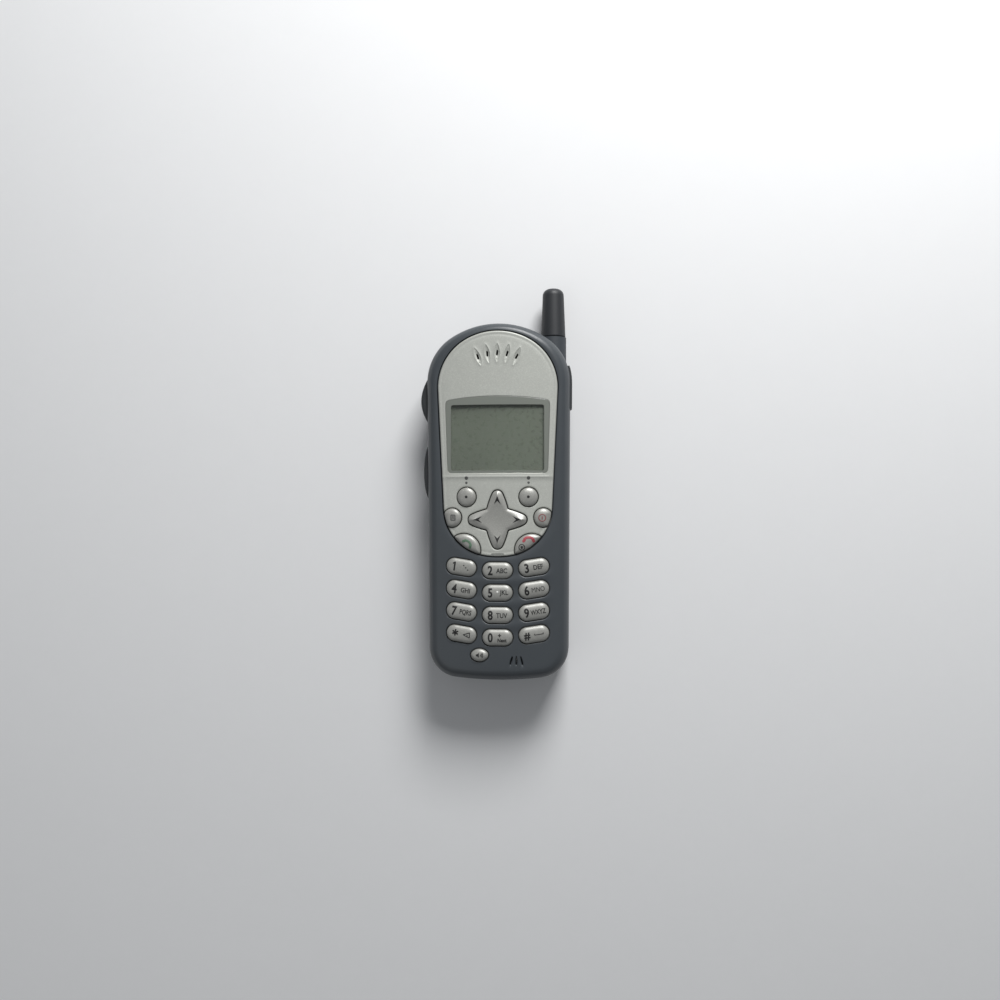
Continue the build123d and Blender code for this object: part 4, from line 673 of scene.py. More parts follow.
def finish_of(name, shared, colour, values, bump, **sockets):
    """A Principled material whose colour, roughness and bump come from a shared effect."""
    material = bpy.data.materials.new(name)
    material.use_nodes = True
    tree = material.node_tree
    shader = tree.nodes["Principled BSDF"]
    for label, value in sockets.items():
        shader.inputs[label.replace("_", " ").title().replace("Ior", "IOR")].default_value = value
    where = tree.nodes.new("ShaderNodeTexCoord").outputs["Object"]
    effect = tree.nodes.new("ShaderNodeGroup")
    effect.node_tree = shared
    tree.links.new(where, effect.inputs["Vector"])
    effect.inputs["Colour"].default_value = (*colour, 1)
    for label, value in values.items():
        effect.inputs[label].default_value = value
    tree.links.new(effect.outputs["Colour"], shader.inputs["Base Color"])
    tree.links.new(effect.outputs["Roughness"], shader.inputs["Roughness"])
    relief = tree.nodes.new("ShaderNodeBump")
    relief.inputs["Strength"].default_value = bump
    relief.inputs["Distance"].default_value = 0.02 * MM
    tree.links.new(effect.outputs["Height"], relief.inputs["Height"])
    tree.links.new(relief.outputs["Normal"], shader.inputs["Normal"])
    return material


PAINT, GRAIN = paint_group(), grain_group()


def grain_finish(name, colour, roughness, mottle, scale, bump, **sockets):
    """Moulded plastic, rubber, foam, film, card or ink."""
    values = {"Mottle": mottle, "Grain Scale": scale, "Roughness": roughness}
    return finish_of(name, GRAIN, colour, values, bump, **sockets)


def paint_finish(name, colour, roughness, mottle, flakes, scale, bump, **sockets):
    """Metal flake paint, or bare metal."""
    values = {"Mottle": mottle, "Flakes": flakes, "Flake Scale": scale, "Roughness": roughness}
    return finish_of(name, PAINT, colour, values, bump, **sockets)


def lens_finish():
    """Clear hard-coated acrylic. Shadow rays go through it, so what lies beneath is lit."""
    material = bpy.data.materials.new("clear_lens")
    material.use_nodes = True
    tree = material.node_tree
    shader = tree.nodes["Principled BSDF"]
    shader.inputs["Base Color"].default_value = (0.93, 0.95, 0.93, 1)
    shader.inputs["Transmission Weight"].default_value = 1.0
    shader.inputs["IOR"].default_value = 1.45
    where = tree.nodes.new("ShaderNodeTexCoord").outputs["Object"]
    haze = noise(tree, where, 900.0, 3.0)
    tree.links.new(math_node(tree, "MULTIPLY", haze, 0.08), shader.inputs["Roughness"])
    light = tree.nodes.new("ShaderNodeLightPath")
    tree.links.new(math_node(tree, "SUBTRACT", 1.0, math_node(
        tree, "MULTIPLY", light.outputs["Is Shadow Ray"], 0.92)), shader.inputs["Alpha"])
    return material


def display_finish():
    """Unlit liquid crystal glass: grey-green, with the faint grid of its pixels."""
    material = grain_finish("display_glass", (0.084, 0.094, 0.075), 0.3, 0.04, 700.0, 0.05,
                            coat_weight=0.4)
    tree = material.node_tree
    shader = tree.nodes["Principled BSDF"]
    where = tree.nodes.new("ShaderNodeTexCoord").outputs["Object"]
    bricks = tree.nodes.new("ShaderNodeTexBrick")
    bricks.offset = 0.0
    bricks.inputs["Scale"].default_value = 1.0 / MM
    bricks.inputs["Brick Width"].default_value = bricks.inputs["Row Height"].default_value = PIXEL
    bricks.inputs["Mortar Size"].default_value = PIXEL_GAP
    for label, tone in (("Color1", 0.96), ("Color2", 0.98), ("Mortar", 1.06)):
        bricks.inputs[label].default_value = (tone, tone, tone, 1)
    tree.links.new(where, bricks.inputs["Vector"])
    colour = shader.inputs["Base Color"].links[0].from_socket
    tree.links.new(scaled_colour(tree, colour, bricks.outputs["Color"], "MULTIPLY", 1),
                   shader.inputs["Base Color"])
    return material


GRAINED = {                # colour, roughness, mottle, scale of the grain, bump
    "case_rear": ((0.040, 0.047, 0.055), 0.55, 0.16, 2200.0, 0.6),
    "black_rubber": ((0.028, 0.031, 0.034), 0.62, 0.15, 2600.0, 0.4),
    "black_moulding": ((0.018, 0.018, 0.020), 0.45, 0.15, 2600.0, 0.3),
    "antenna_black": ((0.022, 0.024, 0.027), 0.5, 0.15, 2400.0, 0.5),
    "grey_silicone": ((0.30, 0.31, 0.32), 0.5, 0.08, 3000.0, 0.35),
    "black_foam": ((0.012, 0.012, 0.012), 0.9, 0.3, 1500.0, 1.0),
    "black_felt": ((0.008, 0.008, 0.008), 0.95, 0.4, 5000.0, 1.0),
    "circuit_board": ((0.02, 0.10, 0.045), 0.3, 0.2, 1200.0, 0.1),
    "clear_film": ((0.55, 0.52, 0.38), 0.25, 0.05, 900.0, 0.05),
    "white_moulding": ((0.72, 0.72, 0.69), 0.45, 0.05, 2000.0, 0.1),
    "battery_wrap": ((0.045, 0.045, 0.05), 0.35, 0.1, 900.0, 0.08),
    "white_card": ((0.78, 0.78, 0.75), 0.4, 0.03, 1500.0, 0.05),
}
METALS = {                 # colour, roughness, mottle, flakes, scale of the flakes, bump
    "plated_steel": ((0.55, 0.55, 0.53), 0.3, 0.1, 0.05, 3000.0, 0.15),
    "antenna_metal": ((0.62, 0.62, 0.62), 0.18, 0.05, 0.02, 3000.0, 0.05),
    "bushing_brass": ((0.60, 0.42, 0.17), 0.25, 0.1, 0.05, 3000.0, 0.15),
}
INKS = {                   # colour and mottle
    "black": ((0.012, 0.012, 0.012), 0.1),
    "grey": ((0.085, 0.087, 0.083), 0.1),
    "green": ((0.115, 0.20, 0.13), 0.3),
    "red": ((0.36, 0.06, 0.075), 0.15),
    "rose": ((0.24, 0.10, 0.10), 0.15),
}
FINISHES = {name: grain_finish(name, *values) for name, values in GRAINED.items()}
FINISHES |= {name: paint_finish(name, *values, metallic=1.0) for name, values in METALS.items()}
FINISHES |= {
    "silver_face": paint_finish("silver_face", (0.43, 0.44, 0.405), 0.46, 0.08, 0.22, 5200.0, 0.15,
                                metallic=0.15, coat_weight=0.1, coat_roughness=0.3),
    "silver_key": paint_finish("silver_key", (0.335, 0.335, 0.312), 0.42, 0.07, 0.25, 5200.0, 0.15,
                               metallic=0.3, coat_weight=0.15, coat_roughness=0.25),
    "case_front": grain_finish("case_front", (0.054, 0.062, 0.069), 0.40, 0.12, 3600.0, 0.25,
                               coat_weight=0.08, coat_roughness=0.4),
    "clear_lens": lens_finish(),
    "display_glass": display_finish(),
}
INK = {name: grain_finish("ink_" + name, colour, 0.5, mottle, 3000.0, 0.35)
       for name, (colour, mottle) in INKS.items()}
INK["border"] = grain_finish("lens_print", (0.185, 0.197, 0.175), 0.35, 0.06, 2500.0, 0.1,
                             coat_weight=0.3, coat_roughness=0.08)


# ------------------------------------------------------------------ surfaces of this phone

def tangent_plane(x, y, place, drop):
    """Height of the plane that touches the sunk crown over a place."""
    slope_x = -place[0] / sqrt((CROWN_RADIUS - drop) ** 2 - place[0] ** 2)
    return crown(*place, drop) + slope_x * (x - place[0]) + tan(CROWN_FALL) * (y - place[1])


def nav_height(x, y):
    """Rise of the four-way key over its plane: a bowl of r squared inside the star-shaped dish,
    and a bowed bevel, 1 - (1 - s)^p to the power 1 / p, from the rim to the dish's edge."""
    away, turn = np.hypot(x, y), np.arctan2(y, x)
    edge, rim = dish_reach(turn), reach(KEYS["nav_key"] - (0, NAV_PLACE), (0, 0), turn)

    def bowl(radius):
        return KEY_PROUD - DISH_DROP - DISH_DEPTH * (1 - (radius / DISH_TIP) ** 2)

    share = np.clip((rim - away) / (rim - edge), 0, 1)
    bevel = (bowl(edge) + KEY_RIM) * (1 - (1 - share) ** BEVEL_POWER) ** (1 / BEVEL_POWER) - KEY_RIM
    return np.where(away < edge, bowl(away), bevel)


def key_height(name, flat):
    """A key's top over the plan. Over the tangent plane at its centre it is a pillow: a quarter
    ellipse from its rim to its middle. The four-way key is bevelled and dished instead."""
    ring = KEYS[name]
    centre = ring.mean(0)
    if name == "nav_key":
        return (tangent_plane(*flat.T, (0.0, NAV_PLACE), FACE_DROP)
                + nav_height(flat[:, 0], flat[:, 1] - NAV_PLACE))
    drop = FACE_DROP if name in FACE_KEYS else 0.0
    width = distance(centre[None], ring)[0]
    share = np.clip(distance(flat, ring) / width, 0, 1)
    pillow = (KEY_PROUD + KEY_RIM) * np.sqrt(1 - (1 - share) ** 2)
    return tangent_plane(*flat.T, tuple(centre), drop) + pillow - KEY_RIM


def round_ring(ring, centre, radius):
    """A circle with its points in the same directions from the centre as those of a ring."""
    away = ring - centre
    return centre + radius * away / np.hypot(*away.T)[:, None]


PILLOW_SHARES = (0, .012, .03, .055, .09, .13, .18, .25, .34, .45, .55, .65, .75, .85, .93)
BEVEL_SHARES = (0, .01, .03, .06, .11, .18, .27, .38, .5, .64, .8)
DISH_SHARES = (0, .1, .22, .35, .5, .65, .8, .92)


def on_key(name):
    """The height over the plan of the top of a key."""
    return lambda flat: key_height(name, flat)


def make_keys():
    """Every key as rings from its middle to its rim, then down to a flange and a round foot."""
    for name, ring in KEYS.items():
        if name == "nav_key":
            centre, (drop, low), (radius, end) = np.array([0.0, NAV_PLACE]), NAV_FLANGE, NAV_SOCKET
            turn = np.arctan2(*(ring - centre).T[::-1])
            dish = around(centre, dish_reach(turn), turn)
            flats = drawn_in(dish, centre, DISH_SHARES) + drawn_in(ring, dish, BEVEL_SHARES)
        else:
            centre, (radius, end) = ring.mean(0), PLUNGER
            drop, low = FACE_FLANGE if name in FACE_KEYS else PANEL_FLANGE
            flats = drawn_in(ring, centre, PILLOW_SHARES)
        wide, middle = grown(ring, FLANGE), round_ring(ring, centre, radius)
        below = [(flat, tangent_plane(*flat.T, tuple(centre), drop)) for flat in (ring, wide)]
        below += [(wide, low), (middle, low), (middle, end)]
        piece = cap_piece("cap_" + name, flats, centre, on_key(name), below, name, FINISHES["silver_key"])
        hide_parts(name)


def holes(names):
    """The openings of some keys."""
    return [grown(KEYS[name], NAV_GAP if name == "nav_key" else KEY_GAP) for name in names]


def nearest(flat, rings):
    """Distance to the nearest of several rings."""
    return np.min([distance(flat, ring) for ring in rings], axis=0)


def slots(places, width, length):
    """Narrow openings along the phone, each placed and leant."""
    return [placed(stadium(length, width, 0.15), x, y, lean + np.pi / 2) for x, y, lean in places]


def scoops(flat, places, length, width, deep):
    """Depth of boat-shaped scoops: each falls with the square of the distance across its half
    width and along its half length."""
    depth = np.zeros(len(flat))
    for x, y, lean in places:
        local = placed(flat - (x, y), turn=-lean)
        along = np.clip(np.abs(local[:, 1]) / (length / 2), 0, 1)
        across = np.abs(local[:, 0]) / (width / 2 * (1 - along ** 2) + 1e-6)
        depth = np.maximum(depth, deep * np.clip(1 - across ** 2, 0, 1) * (1 - along ** 2))
    return depth


def petal_relief(flat):
    """Height of the earpiece petals: scoops, each with a low bead along its edge."""
    edges = nearest(flat, [petal_ring(*petal) for petal in petals()])
    bead = PETAL_BEAD * np.exp(-(edges / PETAL_BEAD_SPREAD) ** 2)
    return bead - scoops(flat, petals(), *PETAL_SCOOP)


def petal_ring(x, y, lean):
    """Boat outline: half widths that fall with the square of the distance from the middle."""
    length, width, _ = PETAL_SCOOP
    along = np.linspace(-PETAL_TIP_SHARE, PETAL_TIP_SHARE, 25)
    half = width / 2 * (1 - along ** 2)
    right = np.stack([half, along * length / 2], 1)
    return placed(np.vstack([right, (right * (-1, 1))[::-1]]), x, y, lean)


def notched_outline(outline, key_holes):
    """Openings that break through the plate's edge become bays of its outline; the rest stay
    holes. A bay follows the opening's inner stretch between its two crossings of the edge."""
    ring, whole = outline, []
    for hole in key_holes:
        within = inside(hole, ring)
        if within.all():
            whole.append(hole)
            continue
        out_of = ~inside(ring, hole)
        start = np.flatnonzero(out_of & ~np.roll(out_of, 1))[0]
        kept = np.roll(ring, -start, 0)[:out_of.sum()]
        begin = np.flatnonzero(within & ~np.roll(within, 1))[0]
        bay = np.roll(hole, -begin, 0)[:within.sum()]
        if np.hypot(*(bay[0] - kept[-1])) > np.hypot(*(bay[-1] - kept[-1])):
            bay = bay[::-1]
        ring = np.vstack([kept, bay])
    return ring, whole


def box_ring(low_x, high_x, low_y, high_y, step):
    """A rectangle's outline with its points spread evenly."""
    return even(np.array([[low_x, low_y], [high_x, low_y], [high_x, high_y], [low_x, high_y]]), step)


def plate_skin(flat):
    """Height of the plate away from its openings: the sunk crown, a step down and a low bead along
    the crease under the display, and a shallow groove inside its rim."""
    x, y = flat.T
    height = crown(x, y, FACE_DROP)
    height -= CREASE_STEP * (1 - smooth_step(y, CREASE_PLACE - CREASE_RUN, CREASE_PLACE))
    bead = (y - CREASE_PLACE - CREASE_BEAD_SHIFT) / CREASE_BEAD_SPREAD
    height += CREASE_BEAD * np.exp(-bead ** 2)
    rim = distance(flat, arch(**FACE_ARCH, step=0.45)) - RIM_GROOVE_PLACE
    return height - RIM_GROOVE * np.exp(-(rim / RIM_GROOVE_SPREAD) ** 2)


def make_face_plate():
    """Silver plate on the sunk crown: eased outer rim and openings, petal scoops, a crease under
    the display, a seat for the lens and a small notch at its foot."""
    outline = arch(**FACE_ARCH, step=0.45)
    petal_slots = slots(petals(), *PETAL_SLOT)
    all_holes = holes(FACE_KEYS + ["nav_key"])
    plate_ring, key_holes = notched_outline(outline, all_holes)
    lens, lens_foot = lens_ring(LENS_GAP), lens_ring(LENS_GAP - STEP_SPREAD)
    notch_end = FACE_ARCH["foot"] + NOTCH_LENGTH

    def top(flat):
        x, y = flat.T
        height = plate_skin(flat) - roll_off(distance(flat, outline), FACE_ROUND)
        height -= roll_off(nearest(flat, all_holes), *PLATE_BREAK_ROUND)
        height -= roll_off(distance(flat, lens), *LENS_SEAT_ROUND)
        in_notch = smooth_step(NOTCH_HALF_WIDTH - np.abs(x), -NOTCH_SLOPE, NOTCH_SLOPE)
        in_notch *= smooth_step(notch_end - y, -NOTCH_SLOPE, NOTCH_SLOPE)
        height += petal_relief(flat) - NOTCH_DEPTH * in_notch
        seat = inside(flat, lens_ring(LENS_GAP - STEP_SPREAD / 2))
        return np.where(seat, crown(x, y, LENS_SEAT), height)

    def under(flat):
        return crown(*flat.T, FACE_DROP + FACE_THICKNESS)

    crease = box_ring(-CREASE_HALF_WIDTH, CREASE_HALF_WIDTH, CREASE_PLACE - CREASE_EDGE, CREASE_PLACE, 0.5)
    notch = box_ring(-NOTCH_HALF_WIDTH, NOTCH_HALF_WIDTH, notch_end - 0.5, notch_end, 0.2)
    rings = [plate_ring, window_ring(WINDOW_MARGIN), *key_holes, *petal_slots]
    rows = [PLATE_ROWS, (0.3,)] + [PLATE_ROWS[:4]] * len(key_holes) + [(0.1,)] * len(petal_slots)
    creases = [(petal_ring(*petal), PETAL_ROWS) for petal in petals()]
    creases += [(crease, CREASE_ROWS), (notch, (-0.12, 0.12)), (lens, LENS_SEAT_ROWS),
                (lens_foot, STEP_FOOT_ROWS)]
    piece = moulding("face_panel", rings, top, under, "phone_body", FINISHES["silver_face"], 0.7,
                     rows, creases)
    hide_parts("face_plate")


def mic_places():
    """Place and lean of each microphone slot: the outer two spread towards the foot."""
    for index in (-1, 0, 1):
        place = (MIC_PLACE[0] + index * MIC_PITCH, MIC_PLACE[1])
        yield (*place, index * MIC_SLANT)


def key_waves(x, y):
    """Low waves across the keypad panel, highest half-way between two rows of keys."""
    bowed = y - FIRST_ROW - SIDE_COLUMN_LIFT * (x / COLUMN_PITCH) ** 2
    wave = (0.5 - 0.5 * np.cos(2 * np.pi * bowed / ROW_PITCH)) ** 2
    last = -3 * ROW_PITCH
    rows = smooth_step(-bowed, 0, WAVE_FADE) * smooth_step(bowed, last, last + WAVE_FADE)
    return WAVE_RISE * wave * rows * smooth_step(-np.abs(x), -WAVE_SIDES[1], -WAVE_SIDES[0])


def make_front_housing():
    """Dark case front: a rolled frame round the plate, a crowned keypad panel with low waves
    between its rows, and a web under the plate. Openings in its sides are cut out of it."""
    outline = arch(**CASE_ARCH, step=0.55)
    recess = arch(**FACE_ARCH, grow=FACE_GAP, step=0.5)
    recess_foot, recess_edge = grown(recess, -STEP_SPREAD), grown(recess, -STEP_SPREAD / 2)
    panel_holes = holes(PANEL_KEYS)
    web_holes = [grown(hole, WEB_HOLE_ROOM) for hole in holes(FACE_KEYS + ["nav_key"])]
    half_x, half_y = PANEL_OPENING[0] / 2, PANEL_OPENING[1] / 2
    display = box_ring(-half_x, half_x, WINDOW_PLACE - half_y, WINDOW_PLACE + half_y, 0.8)
    sound = placed(stadium(*SOUND_OPENING), 0, SOUND_PLACE)
    mic = slots(mic_places(), *MIC_SLOT)
    mic_scoops = [(x, y + MIC_SCOOP_SHIFT, lean) for x, y, lean in mic_places()]
    thin_region, plate_margin = grown(outline, -THIN_INSET), grown(recess, WEB_MARGIN)
    panel_edge = box_ring(-half_x - PANEL_EDGE_REACH, half_x + PANEL_EDGE_REACH,
                          KEYPAD_TOP, KEYPAD_TOP + STEP_SPREAD, 0.8)

    def top(flat):
        x, y = flat.T
        height = crown(x, y) - roll_off(distance(flat, outline), EDGE_ROLL)
        beside = distance(flat, recess)
        height -= INNER_ROLL_DROP * np.clip(1 - beside / INNER_ROLL, 0, 1) ** 2
        height -= roll_off(nearest(flat, panel_holes), *HOLE_ROUND)
        height -= roll_off(nearest(flat, mic), *MIC_SLOT_ROUND) + scoops(flat, mic_scoops, *MIC_SCOOP)
        height += key_waves(x, y)
        return np.where(inside(flat, recess_edge), crown(x, y, SHELF_DROP), height)

    def under(flat):
        x, y = flat.T
        thin = (y < KEYPAD_TOP + STEP_SPREAD / 2) & inside(flat, grown(thin_region, STEP_SPREAD / 2))
        thin &= ~inside(flat, grown(plate_margin, STEP_SPREAD / 2))
        roof = np.where(thin, crown(x, y, KEYPAD_PANEL), crown(x, y, SHELF_DROP + SHELF_THICKNESS))
        return np.where(distance(flat, outline) < WALL + STEP_SPREAD / 2, SPLIT_HEIGHT, roof)

    rings = [outline, *panel_holes, *mic, *web_holes, display, sound]
    rows = [CASE_ROWS] + [KEY_HOLE_ROWS] * len(panel_holes) + [MIC_ROWS] * len(mic)
    rows += [(0.15,)] * (len(web_holes) + 2)
    creases = [(grown(outline, -WALL), ()), (grown(outline, -WALL - STEP_SPREAD), (-0.4, -0.9)),
               (recess, RECESS_ROWS), (recess_foot, STEP_FOOT_ROWS), (panel_edge, ())]
    creases += [(grown(ring, gap), ()) for ring in (thin_region, plate_margin)
                for gap in (0, STEP_SPREAD)]
    piece = moulding("front_shell", rings, top, under, "phone_body", FINISHES["case_front"], 0.9,
                     rows, creases, 40.0)
    for points, faces in [*side_cuts(), port_cut(), flap_cut()]:
        subtract(piece, points, faces)
    sharp_shading(piece, 40.0)
    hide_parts("front_housing")


def prism(ring, low, high):
    """Points and faces of a ring raised from one height to another."""
    count = len(ring)
    here, following = round_trip(count)
    points = np.vstack([np.column_stack([ring, np.full(count, z)]) for z in (low, high)])
    walls = np.stack([here, following, following + count, here + count], 1)
    return points, [*walls, here[::-1], here + count]


def side_cuts():
    """The openings of the two side keys and of the connector at the foot."""
    inner = -CASE_ARCH["half_foot"] + WALL + SIDE_HOLE_REACH
    for ends in (ROCKER_ENDS, TALK_ENDS):
        ring = box_ring(-OUTSIDE, inner, ends[0] - SIDE_GAP, ends[1] + SIDE_GAP, 20)
        yield prism(ring, CUT_LOW, SIDE_KEY_HIGH + SIDE_GAP)
    half = CONNECTOR_WIDTH / 2 + CONNECTOR_GAP
    ring = box_ring(-half, half, -2 * OUTSIDE, CASE_ARCH["foot"] + 2 * WALL, 20)
    yield prism(ring, CUT_LOW, CONNECTOR_HIGH + CONNECTOR_GAP)


def port_cut():
    """A rod along X through the case side, for the headset socket."""
    points, faces = prism(circle(0, 0, PORT_RADIUS), PORT_START, OUTSIDE)
    return np.stack([points[:, 2], JACK_PLACE + points[:, 0], JACK_HEIGHT + points[:, 1]], 1), faces


def flap_cut():
    """The sunk seat of the flap: the case side outside a line that runs one gap under it."""
    sunk = arch(**CASE_ARCH, grow=-FLAP_SUNK - FLAP_GAP, step=0.5)
    low, high = FLAP_ENDS[0] - FLAP_GAP, FLAP_ENDS[1] + FLAP_GAP
    side = sunk[(sunk[:, 0] > 0) & (sunk[:, 1] > low) & (sunk[:, 1] < high)]
    side = side[np.argsort(side[:, 1])]
    edges = [(side[0, 0], low), (OUTSIDE, low), (OUTSIDE, high), (side[-1, 0], high)]
    ring = np.vstack([edges, side[::-1]])
    return prism(ring, FLAP_HEIGHTS[0] - FLAP_GAP, FLAP_HEIGHTS[1] + FLAP_GAP)


def subtract(piece, points, faces):
    """Cut a closed solid out of a piece, and keep the result as its mesh."""
    tool = added("cutter", mesh_of("cutter", points, faces))
    cut = piece.modifiers.new("cut", "BOOLEAN")
    cut.operation, cut.object, cut.solver = "DIFFERENCE", tool, "EXACT"
    bpy.context.view_layer.update()
    seen = piece.evaluated_get(bpy.context.evaluated_depsgraph_get())
    carved = bpy.data.meshes.new_from_object(seen)
    piece.modifiers.clear()
    piece.data = carved
    bpy.data.objects.remove(tool)


def make_lens():
    """Clear lens flush with the plate, eased along its upper edge, the grey border printed on its
    face round a clear window, and the face of the display close behind it."""
    outline = lens_ring()

    def face(flat):
        return crown(*flat.T, FACE_DROP) - roll_off(distance(flat, outline), *LENS_ROUND)

    def back(flat):
        return crown(*flat.T, FACE_DROP + LENS_THICKNESS)

    lens = moulding("lens", [outline], face, back, "phone_body", FINISHES["clear_lens"], 1.0,
                    [LENS_ROWS])
    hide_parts("display_lens")
    border = moulding("lens_border", [lens_ring(-0.01), window_ring()], lambda flat: face(flat) + BORDER_COAT,
                      lambda flat: face(flat) - BORDER_COAT, "phone_body", INK["border"], 0.8,
                      [LENS_ROWS, (0.1,)])
    glass = moulding("display_face", [window_ring(WINDOW_MARGIN)],
                     lambda flat: back(flat) - DISPLAY_GAP, lambda flat: back(flat) - 4 * DISPLAY_GAP,
                     "phone_body", FINISHES["display_glass"], 1.5, [(0.3,)])


# ------------------------------------------------------------------ printed legends, and dark arrowheads

def refined(plan, triangles, passes):
    """Every triangle split into four at its edge midpoints, a few times over."""
    for _ in range(passes):
        pairs, back = np.unique(np.sort(edges_of(triangles), 1), axis=0, return_inverse=True)
        ab, bc, ca = back.reshape(3, -1) + len(plan)
        plan = np.vstack([plan, plan[pairs].mean(1)])
        a, b, c = triangles.T
        quarters = ((a, ab, ca), (ab, b, bc), (ca, bc, c), (ab, bc, ca))
        triangles = np.vstack([np.stack(corners, 1) for corners in quarters])
    return plan, triangles


def lettering(words, height, x, y, narrow, weight):
    """Flat mesh of a short text, centred on x and y, with capitals of a height. An M fills in
    when it is thickened, so a text with one keeps its own weight."""
    weight = 0.0 if "M" in words else weight
    curve = bpy.data.curves.new("lettering", "FONT")
    curve.body, curve.size, curve.resolution_u, curve.offset = words, 1.0, 3, weight
    text = added("lettering", curve)
    bpy.context.view_layer.update()
    mesh = bpy.data.meshes.new_from_object(text.evaluated_get(bpy.context.evaluated_depsgraph_get()))
    bpy.data.objects.remove(text)
    mesh.calc_loop_triangles()
    plan = np.array([v.co[:2] for v in mesh.vertices])
    triangles = np.array([t.vertices[:] for t in mesh.loop_triangles])
    plan, back = np.unique(plan.round(5), axis=0, return_inverse=True)
    triangles = back.reshape(-1)[triangles]
    middle = (plan.max(0) + plan.min(0)) / 2
    scale = height / CAPITAL
    plan = (plan - middle) * (scale * narrow, scale) + (x, y)
    triangles, area = facing_up(plan, triangles)
    return refined(plan, triangles[area > 1e-7], 2)


def filled(ring):
    """Flat mesh inside a ring."""
    return plan_mesh([ring], 0.25, [(0.1,)])


def stroke(points, width, closed=False):
    """Flat mesh of a line of even width: rows of points side by side across it."""
    points = np.asarray(points, float)
    if closed:
        points = np.vstack([points, points[:1]])
    points = spaced(points, MARK_STEP, 3, True)
    along = np.gradient(points, axis=0)
    if closed:
        along[0] = along[-1] = points[1] - points[-2]
    along /= np.maximum(np.hypot(*along.T), 1e-9)[:, None]
    side = np.stack([-along[:, 1], along[:, 0]], 1) * width
    shares = np.linspace(0.5, -0.5, max(2, int(width / MARK_STEP) + 1))
    plan = np.vstack([points + share * side for share in shares])
    here = np.arange(len(points) - 1) + len(points) * np.arange(len(shares) - 1)[:, None]
    a = here.reshape(-1)
    b, c, d = a + len(points), a + len(points) + 1, a + 1
    return plan, np.vstack([np.stack(corners, 1) for corners in ((a, b, c), (a, c, d))])


def joined(parts, x=0.0, y=0.0, turn=0.0):
    """Several flat meshes as one, turned and moved together."""
    plans, triangles, first = [], [], 0
    for plan, faces in parts:
        plans.append(plan)
        triangles.append(faces + first)
        first += len(plan)
    return placed(np.vstack(plans), x, y, turn), np.vstack(triangles)


def printed(name, parts, body, ink, height, place=(0, 0), turn=0.0):
    """A legend: flat meshes laid on a height over the plan as a thin closed skin."""
    plan, triangles = joined(parts, *place, turn)
    points, faces = thickened(plan, triangles, lambda flat: height(flat) + PRINT_PROUD,
                              lambda flat: height(flat) - PRINT_SUNK)
    piece = mesh_piece(name, points, faces, body, INK[ink])


def key_mark(name, parts, key, ink, place, turn=0.0):
    """A legend on the top of a key."""
    printed(name, parts, key, ink, on_key(key), place, turn)


KEY_LETTERS = {"key_2": "ABC", "key_3": "DEF", "key_4": "GHI", "key_5": "JKL", "key_6": "MNO",
               "key_7": "PQRS", "key_8": "TUV", "key_9": "WXYZ"}


def dot_marks():
    """Three short strokes in a falling row."""
    return [stroke([(x, y), (x + 0.12, y - 0.35)], 0.48) for x, y in ((0.8, 0.9), (1.65, 0.2), (2.5, -0.5))]


def arrow_mark():
    """An open arrowhead with a short stroke inside it."""
    return [stroke([(0.75, -0.1), (2.95, 0.95), (3.15, -0.9)], 0.33, True),
            stroke([(2.15, 0.05), (2.3, -0.6)], 0.38)]


def one_mark():
    """A stem with a short flag on its left."""
    x, half = DIGIT_PLACE, DIGIT / 2
    return [stroke([(x + 0.15, half), (x + 0.15, -half)], 0.58),
            stroke([(x - 0.6, half - 0.75), (x + 0.2, half - 0.15)], 0.46)]


def star_mark():
    """Three strokes through one point, a sixth of a turn apart."""
    spokes = [placed(np.array([(-1.2, 0.0), (1.2, 0.0)]), turn=radians(30 + 60 * k)) for k in range(3)]
    return [stroke(placed(spoke, DIGIT_PLACE + 0.3, 0.3), 0.56) for spoke in spokes]


def hash_mark():
    """A hash, smaller than the digits."""
    return [lettering("#", 2.7, DIGIT_PLACE + 0.1, -0.4, 0.95, 0.035)]


def space_mark():
    """The flat bracket that stands for a space."""
    return [stroke([(0.3, 0.25), (0.3, -0.25), (3.4, -0.25), (3.4, 0.25)], 0.3)]


def plus_mark():
    """A plus over a small word."""
    return [stroke([(0.2, 0.8), (1.4, 0.8)], 0.36), stroke([(0.8, 0.2), (0.8, 1.4)], 0.36),
            lettering("Next", 1.35, 1.7, -0.95, 0.85, 0.03)]


def make_number_legends():
    """The sign and the letters of every number key."""
    drawn = {"key_1": one_mark, "key_star": star_mark, "key_hash": hash_mark}
    marks = {"key_1": dot_marks, "key_star": arrow_mark, "key_hash": space_mark, "key_0": plus_mark}
    for names in KEY_ROWS:
        for name in names:
            place = number_key_place(name)
            if name in drawn:
                parts = drawn[name]()
            else:
                parts = [lettering(name[-1], DIGIT, DIGIT_PLACE, 0, DIGIT_NARROW, DIGIT_WEIGHT)]
            if name in KEY_LETTERS:
                words = KEY_LETTERS[name]
                narrow = FOUR_NARROW if len(words) > 3 else LETTER_NARROW
                along = LETTER_PLACE + (LETTER_SHIFT if name == "key_5" else 0.0)
                parts.append(lettering(words, LETTER, along, -0.1, narrow, LETTER_WEIGHT))
            parts += marks[name]() if name in marks else []
            key_mark("legend_" + name, parts, name, "black", place[:2], place[2])


def make_nib():
    """Small raised dome on the middle key, a quarter ellipse high, for finding it by touch. Its white finish
    is a painted highlight on the dome.
    """
    x, y, _ = number_key_place("key_5")
    rim = circle(x, y + 0.3, NIB_RADIUS, MARK_STEP)
    # painted highlight: the dome gets the white finish so that it shows as bright as the light it catches
    piece = moulding("nib_key_5", [rim],
                     lambda flat: key_height("key_5", flat) + NIB_HEIGHT
                     - roll_off(distance(flat, rim), NIB_RADIUS, NIB_HEIGHT),
                     lambda flat: key_height("key_5", flat) - PRINT_SUNK,
                     "key_5", FINISHES["white_moulding"], 0.15, [(0.04, 0.1, 0.2)])


